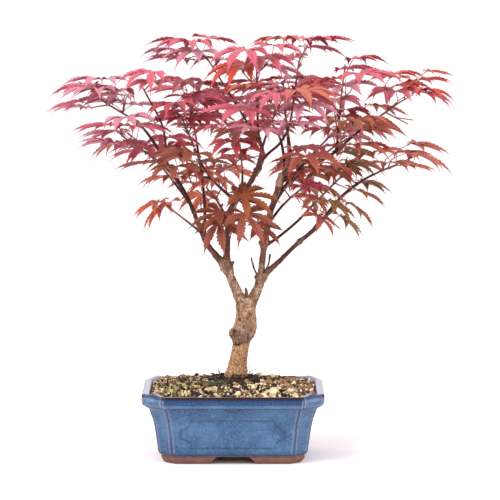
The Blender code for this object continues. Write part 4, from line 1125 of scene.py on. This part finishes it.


# Glazed body: profile rows carried round the outline, with the lip pinched at the corners, a ridge down each
# corner, a bracketed line under the lip and a grooved panel with scooped corners on each side. Colours
# follow the shape: pale where glaze lies thin on the rim, painted highlights in the same pale beside the
# corner ridges, at the lip's ends, on the ears and along the bead, dark where glaze breaks over edges, deep
# blue below.
def makePotGlaze():
    plan = potPlan
    wall, rim = plan["side"], plan["rim"]
    stretches = ((wall, 0.5), (wall[-1:] + rim, 0.5), (rim[-1:] + plan["inside"], 6.0))
    outer, over, inner = (smoothPath([(inset, height, 0.0) for inset, height in rows], step)
                          for rows, step in stretches)
    profile = np.vstack((outer, over[1:], inner[1:]))
    spots, middle, edge, outward, side = potOutlines(profile[:, 0])
    height = profile[:, 1:2] + 0 * middle
    outside = (np.arange(len(profile)) < len(outer) + 2)[:, None] * 1.0
    long, short, flat = side % 4 == 2, side % 4 == 0, (side % 2 == 0) * 1.0
    cut, face = 1 - flat, flat * outside
    run = along(profile)
    beyond = (run - run[np.argmax(profile[:, 1] > plan["rimAt"])])[:, None] + 0 * middle
    lip = ease(height, *plan["lipAt"]) * (beyond < 3.0)
    below = (1 - ease(height, 48.5, 50.0)) * ease(height, *plan["footAt"]) * outside
    lineHeight = plan["lineAt"] - 3.2 * bell(middle, 4.6) + 1.2 * bell(middle, 1.3)
    line = bell(height - lineHeight, 0.6) * ease(edge, 3.0, 6.0) * face
    longHalf, shortHalf, halfTall, panelAt, scoop = plan["panel"]
    halfWide = np.where(long, longHalf, shortHalf)
    panel = bell(panelDistance(middle, height - panelAt, halfWide, halfTall, scoop), 0.7) * face
    ear = cut * bell(middle, 7.5) * lip
    sag = cut * bell(middle, 8.0) * bell(height - 49.6, 2.6) * outside
    rise = cut * bell(middle, 6.0) * ease(height, 52.0, 59.0)
    height = height - plan["sag"] * sag + plan["rise"] * rise
    push = (-plan["pinch"] * bell(edge, 1.8) * lip + plan["ear"] * ear
            - 1.1 * cut * lip * ((height - 54.6) / 5.0) ** 2
            + plan["ridge"] * bell(edge, 1.1) * below - plan["line"] * line - plan["groove"] * panel
            + 0.35 * ease(height, 49.8, 50.6) * (1 - ease(height, 52.4, 53.4)) * face)
    push = push + 0.12 * noiseAt(np.dstack((spots, height)), 9.0) * outside
    points = np.dstack((spots + outward * push[..., None], height))
    turnIn = 1.8 * long * (spots[..., 1] < 0)
    # Pale mark: thin glaze on the rim (1.2 term), and painted highlights beside the corner ridges, at the
    # lip's ends, on the ears and along the bead
    pale = (1.2 * ease(beyond, 1.3 + turnIn, 2.2 + turnIn) * ease(height, 55.0, 58.0)
            + 0.6 * bell(edge - 1.5, 0.7) * lip + 0.42 * bell(edge - 1.9, 0.7) * below
            + 0.5 * bell(height - 56.6, 1.2) * ear + 0.22 * bell(height - 51.4, 1.1) * outside)
    brown = (ease(beyond, -1.7, -0.7) * (1 - ease(beyond, 1.2 + turnIn, 2.0 + turnIn)) * (0.6 + 0.4 * flat)
             + 0.45 * bell(edge - 0.2, np.where(short, 2.2, 1.15)) * below + 0.6 * line + 0.42 * panel
             + 0.6 * bell(height - 8.4, 0.6) * outside + 0.85 * bell(edge - 0.2, 0.55) * lip
             + 0.6 * cut * bell(height - 50.4, 0.7) * outside)
    pool = (ease(height, 52.4, 53.6) * (1 - ease(height, 58.4, 59.0)) * ease(edge, 1.2, 2.6) * face
            * (0.75 + 0.25 * ease(height, 54.0, 57.0)) + 0.35 * (1 - ease(height, 9.0, 13.0)) * outside)
    marks = {"pale": np.clip(pale, 0, 1), "brown": np.clip(brown, 0, 1), "pool": np.clip(pool, 0, 1)}
    makePiece("potGlaze", points, tubeFaces(*middle.shape), glazeMaterial(), "blue_glaze", ["pot"],
              marks=marks)


# Foot: a wall round a recessed underside, with an arch cut through the wall in each side. Unglazed clay is
# matt and red-brown with fine pores.
def makePotFoot():
    plan = potPlan
    profile = smoothPath([(inset, height, 0.0) for inset, height in plan["foot"]], 1.2)
    spots, middle, edge, outward, side = potOutlines(profile[:, 0])
    height = np.clip(profile[:, 1:2], 0.0, None) + 0 * middle
    for axis, (wide, narrow), number in ((0, plan["archLong"], 2), (1, plan["archShort"], 0)):
        slope = np.clip((wide / 2 - np.abs(spots[..., axis])) / ((wide - narrow) / 2), 0.0, 1.0)
        height = np.maximum(height, plan["archTop"] * slope * (side % 4 == number))
    points = np.dstack((spots, height))
    points = points + np.dstack((outward, 0 * height)) * (0.12 * noiseAt(points, 2.5))[..., None]
    points[..., 2] = np.maximum(points[..., 2], 0.0)
    material = twoTone("unglazedClay", 0.85, 1.5, plan["clay"], (2.2, 4.0), (0.8, 3.0, 0.3, 0.6))
    makePiece("potFoot", points, tubeFaces(*middle.shape), material, "blue_glaze", ["pot"])


# Soil: grit of several kinds on a dark bed. edge and top: heights of the bed at the wall and the trunk.
# halfX, halfY and cutSum: its outline. around and rings: its points. trunkX: the trunk's foot, which is bare
# of grains to bareTo.
soilPlan = dict(edge=57.6, top=soilTop, under=50.0, halfX=70.6, halfY=52.1, cutSum=108.6, around=220,
                rings=46, tones=("#1A1510", "#4A3A26"), grains=3600, trunkX=1.2, bareTo=9.5)


# How far a place is towards the pot's wall: 0 in the middle, 1 at the wall
def towardsWall(x, y):
    plan = soilPlan
    return np.maximum(np.maximum(np.abs(x) / plan["halfX"], np.abs(y) / plan["halfY"]),
                      (np.abs(x) + np.abs(y)) / plan["cutSum"])


# Height of the bed: a low mound that levels out round the trunk
def bedHeight(x, y):
    share = np.clip((1 - towardsWall(x, y)) / 0.78, 0.0, 1.0)
    return soilPlan["edge"] + (soilPlan["top"] - soilPlan["edge"]) * share ** 0.8


# Bed: rings from the wall inwards at the bed's height, less a little, made lumpy by noise. Damp grit is
# matt and nearly black.
def makeSoilBed():
    plan = soilPlan
    turn = np.arange(plan["around"]) * 2 * math.pi / plan["around"]
    reach = 1 / towardsWall(np.cos(turn), np.sin(turn))
    share = np.linspace(1.004, 0.03, plan["rings"])[:, None]
    x, y = share * reach * np.cos(turn), share * reach * np.sin(turn)
    z = bedHeight(x, y) + 0.5 * noiseAt(np.dstack((x, y, 0 * x)), 3.0) - 0.9
    top = np.dstack((x, y, z))
    points = np.concatenate((top[:1], top))
    points[0, :, 2] = plan["under"]
    material = twoTone("dampGrit", 0.95, 1.45, plan["tones"], (1.6, 4.0), (1.0, 3.0, 0.8, 1.0))
    makePiece("soilBed", points, tubeFaces(*points.shape[:2]), material, "gritty_soil", ["soil"])


# A cube with each face cut in four, blown up to a ball: 26 corners and 24 faces
def grainPattern():
    steps = np.array([step for step in itertools.product((-1, 0, 1), repeat=3) if any(step)])
    quads = []
    for axis, sign, a, b in itertools.product(range(3), (-1, 1), (-1, 0), (-1, 0)):
        loop = [(sign, a + da, b + db) for da, db in ((0, 0), (1, 0), (1, 1), (0, 1))]
        codes = np.roll(loop, axis, axis=1)[::sign] @ (9, 3, 1) + 13
        quads.append(codes - (codes > 13))
    return unit(steps), np.array(quads)


# Random turns as matrices, from evenly drawn quaternions
def randomTurns(draw, count):
    w, x, y, z = unit(draw.normal(size=(count, 4))).T
    rows = ((1 - 2 * (y * y + z * z), 2 * (x * y - w * z), 2 * (x * z + w * y)),
            (2 * (x * y + w * z), 1 - 2 * (x * x + z * z), 2 * (y * z - w * x)),
            (2 * (x * z - w * y), 2 * (y * z + w * x), 1 - 2 * (x * x + y * y)))
    return np.moveaxis(np.array(rows), -1, 0)


# Points and faces of many grains: a ball cut by six random planes, then stretched, turned and laid in place
def grainPoints(draw, places, sizes, stretch):
    ball, quads = grainPattern()
    count = len(places)
    planes = unit(draw.normal(size=(count, 6, 3)))
    depth = draw.uniform(0.5, 0.8, (count, 6, 1))
    facing = np.einsum("nkx,vx->nkv", planes, ball)
    radius = np.where(facing > 0.15, depth / np.maximum(facing, 0.15), 1.0).min(axis=1)
    shape = ball[None] * np.minimum(radius, 1.0)[..., None] * stretch[:, None]
    shape = np.einsum("nvx,nyx->nvy", shape, randomTurns(draw, count))
    return places[:, None] + shape * sizes[:, None, None], copyFaces([quads], count, len(ball))


# Kinds of grain: two tones, smallest and largest size, how likely a big one is, how common the kind is
# anywhere, and how much more so round a spot within a reach
grainKeys = ("tones", "size", "big", "weight", "extra", "at", "reach")
grainKinds = {row[0]: dict(zip(grainKeys, row[1:])) for row in (
    ("creamGrit", ("#F2E0BE", "#BFA47E"), (0.9, 2.9), 0.3, 0.5, 2.2, (34.0, -38.0), 20.0),
    ("tanGrit", ("#B89064", "#7A5E45"), (0.9, 2.6), 0.06, 0.8, 0.2, (20.0, 0.0), 80.0),
    ("barkChips", ("#9A6E50", "#553A28"), (1.2, 3.2), 0.3, 0.3, 2.4, (56.0, -10.0), 24.0),
    ("darkGrit", ("#2A221B", "#14100C"), (1.0, 2.3), 0.06, 2.0, 2.6, (0.0, 6.0), 30.0),
    ("mossyGrit", ("#CFC583", "#6A6E38"), (0.9, 1.9), 0.06, 0.22, 1.7, (-44.0, -18.0), 30.0),
)}


# One column of evenly drawn values for each span
def drawColumns(draw, spans, count):
    return np.column_stack([draw.uniform(low, high, count) for low, high in spans])


# Stone and bark grit: matt, each kind in two tones that change from grain to grain. A grain's kind is drawn
# by the kinds' weights where it lies.
def makeGrains():
    draw = np.random.RandomState(3)
    most = soilPlan["grains"]
    x, y = (draw.uniform(-half, half, 2 * most) for half in (72.0, 54.0))
    clear = (towardsWall(x, y) < 0.975) & (np.hypot(x - soilPlan["trunkX"], y) > soilPlan["bareTo"])
    x, y = x[clear][:most], y[clear][:most]
    spots = np.column_stack((x, y))
    weights = np.array([kind["weight"] + kind["extra"] * bell(away(spots, kind["at"]), kind["reach"])
                        for kind in grainKinds.values()])
    chosen = (np.cumsum(weights / weights.sum(axis=0), axis=0) < draw.uniform(size=len(x))).sum(axis=0)
    for number, (name, kind) in enumerate(grainKinds.items()):
        mine = chosen == number
        count = int(mine.sum())
        smallest, largest = kind["size"]
        sizes = smallest + (largest - smallest) * draw.uniform(size=count) ** 2.2
        sizes = np.where(draw.uniform(size=count) < kind["big"], sizes * 1.6, sizes)
        sunk = sizes * draw.uniform(-0.25, 0.4, count) - 0.4 * np.maximum(sizes - 1.6, 0.0)
        places = np.column_stack((x[mine], y[mine], bedHeight(x[mine], y[mine]) + sunk))
        stretch = drawColumns(draw, ((0.9, 1.3), (0.7, 1.0), (0.5, 0.9)), count)
        points, faceSets = grainPoints(draw, places, sizes, stretch)
        tone = np.repeat(draw.uniform(0.0, 1.0, count), points.shape[1])
        material = twoTone(name, 0.9, 1.5, kind["tones"], "tone", (0.6, 3.0, 0.3, 0.6))
        makePiece(name, points, faceSets, material, "gritty_soil", ["soil"], smooth=False,
                  marks={"tone": tone})


# Bent tubes: quadratic curves from starts to ends, drawn towards middles, that taper by 0.4
def bentTubes(starts, middles, ends, radii, sides):
    t = np.linspace(0.0, 1.0, 6)[None, :, None]
    line = starts[:, None] * (1 - t) ** 2 + 2 * middles[:, None] * t * (1 - t) + ends[:, None] * t ** 2
    taper = radii[:, None, None] * (1 - 0.4 * t ** 2)
    return manyTubes(np.concatenate((line, taper), axis=-1), sides, (0.31, 0.17, 0.93))


# Litter: how many strands of each kind, how high the fibres are heaped at the trunk, and tones
litterPlan = dict(fibres=460, whiskers=26, sticks=16, heap=5.2, fibreTones=("#1E1712", "#4A3524"),
                  stickTones=("#262A1E", "#565A40"))


# Litter on the soil: fibres heaped round the trunk's foot, whiskers that stand up from it, mossy sticks in
# front of it and one root hair. Bark fibre is matt and dark brown, the sticks matt and green-grey.
def makeLitter():
    draw = np.random.RandomState(8)
    plan, trunkX = litterPlan, soilPlan["trunkX"]
    count = plan["fibres"]
    turn = draw.uniform(0, 2 * math.pi, count)
    out = draw.uniform(8.5, 18.0, count) + 4.0 * np.abs(np.cos(turn))
    x, y = trunkX + out * np.cos(turn), out * np.sin(turn)
    lie = turn + draw.uniform(0.6, 2.4, count)
    long = draw.uniform(2.0, 6.0, count)
    lift = draw.uniform(0.0, 1.2, count) + plan["heap"] * bell(out - 8.5, 4.0) * draw.uniform(size=count)
    starts = np.column_stack((x, y, bedHeight(x, y) + lift))
    ends = starts + np.column_stack((long * np.cos(lie), long * np.sin(lie), draw.uniform(-1.2, 1.8, count)))
    ends[:, 2] = np.maximum(ends[:, 2], bedHeight(ends[:, 0], ends[:, 1]) - 0.3)
    middles = (starts + ends) / 2
    middles[:, 2] += draw.uniform(0.3, 1.8, count)
    fibres = bentTubes(starts, middles, ends, draw.uniform(0.35, 0.95, count), 5)
    count = plan["whiskers"]
    turn = draw.choice((0.0, math.pi), count) + draw.uniform(-0.7, 0.7, count)
    starts = np.column_stack((trunkX + 10.5 * np.cos(turn), 10.0 * np.sin(turn), np.full(count, 66.0)))
    lift = draw.uniform(3.0, 11.0, count)
    lean = 5.0 * np.cos(turn) * draw.uniform(0.2, 1.4, count)
    ends = starts + np.column_stack((lean, draw.uniform(-2, 2, count), lift))
    middles = (starts + ends) / 2 + np.column_stack((2.0 * np.cos(turn), 0 * turn, 0.3 * lift))
    whiskers = bentTubes(starts, middles, ends, draw.uniform(0.16, 0.30, count), 4)
    material = twoTone("barkFibre", 0.95, 1.45, plan["fibreTones"], (4.0,))
    makePiece("soilFibres", *joinSets([fibres, whiskers]), material, "gritty_soil", ["soil"])
    count = plan["sticks"]
    x, y = draw.uniform(-32.0, -10.0, count), draw.uniform(-24.0, -16.0, count)
    starts = np.column_stack((x, y, bedHeight(x, y) + draw.uniform(0.6, 1.8, count)))
    ends = starts + drawColumns(draw, ((6.0, 13.0), (-1.5, 1.5), (-0.6, 0.6)), count)
    middles = (starts + ends) / 2 + (0.0, 0.0, 0.6)
    points, faceSets = bentTubes(starts, middles, ends, draw.uniform(0.7, 1.2, count), 6)
    points = points + 0.25 * noiseAt(points, 1.2)[:, None]
    sticks = twoTone("mossySticks", 0.95, 1.45, plan["stickTones"], (1.5,))
    makePiece("mossySticks", points, faceSets, sticks, "gritty_soil", ["soil"])
    hair = np.array([[(13.4, -7.6, 77.0, 0.24), (14.6, -8.2, 81.0, 0.24), (14.2, -8.4, 85.0, 0.2),
                      (13.0, -8.0, 88.0, 0.15)]])
    makePiece("rootHair", *manyTubes(hair, 5), material, "maple_bark")


makePotGlaze()
makePotFoot()
makeLitter()
makeSoilBed()
makeGrains()


# Camera as fitted to the photograph's pot: low, far away and long
cameraPlan = dict(elevation=6.5, distance=2250.0, target=(14.4, 0.0, 178.0), lens=189.5)


# Camera: from the target back along the line of sight, which looks down by the elevation
def placeCamera():
    up = math.radians(cameraPlan["elevation"])
    back = np.array((0.0, -math.cos(up), math.sin(up))) * cameraPlan["distance"]
    camera = addObject("photoCamera", bpy.data.cameras.new("photoCamera"))
    camera.data.lens = cameraPlan["lens"]
    camera.data.sensor_width = 36.0
    camera.location = toFrame(np.array(cameraPlan["target"]) + back)
    camera.rotation_euler = (math.pi / 2 - up, 0.0, 0.0)
    bpy.context.scene.camera = camera


# Studio: bright even surroundings, a large soft lamp above to the left and a weaker one to the right
lightPlan = dict(world=1.17, lamps=((-900.0, -1000.0, 1500.0, 0.9, 22.0), (1100.0, -900.0, 900.0, 1.4, 8.0)))


# Studio light: an even white world, and round lamps that face the middle of the tree. Each lamp is x, y, z,
# width in metres and power.
def lightStudio():
    world = bpy.data.worlds.new("studio")
    world.use_nodes = True
    nodes = world.node_tree.nodes
    wire(world.node_tree, nodes["Background"], {"Color": "#FFFFFF", "Strength": lightPlan["world"]})
    bpy.context.scene.world = world
    middle = toFrame((14.0, 0.0, 180.0))
    for x, y, z, size, power in lightPlan["lamps"]:
        lamp = addObject("softLamp", bpy.data.lights.new("softLamp", "AREA"))
        lamp.data.shape = "DISK"
        lamp.data.size = size
        lamp.data.energy = power
        lamp.location = toFrame((x, y, z))
        x, y, z = unit(np.array(lamp.location) - middle)
        lamp.rotation_euler = (math.acos(z), 0.0, math.atan2(y, x) + math.pi / 2)
    bpy.context.scene.view_settings.view_transform = "Standard"


# Floor: one large square at the table's height. Pale paper is matt and all but white.
def layFloor():
    mesh = bpy.data.meshes.new("paleFloor")
    mesh.from_pydata([(-60, -60, 0), (60, -60, 0), (60, 60, 0), (-60, 60, 0)], [], [(0, 1, 2, 3)])
    material, tree = startMaterial("palePaper")
    setShader(tree, "#FCF3F6", 0.9)
    mesh.materials.append(material)
    addObject("paleFloor", mesh)


layFloor()
lightStudio()
placeCamera()
print("stage ready")
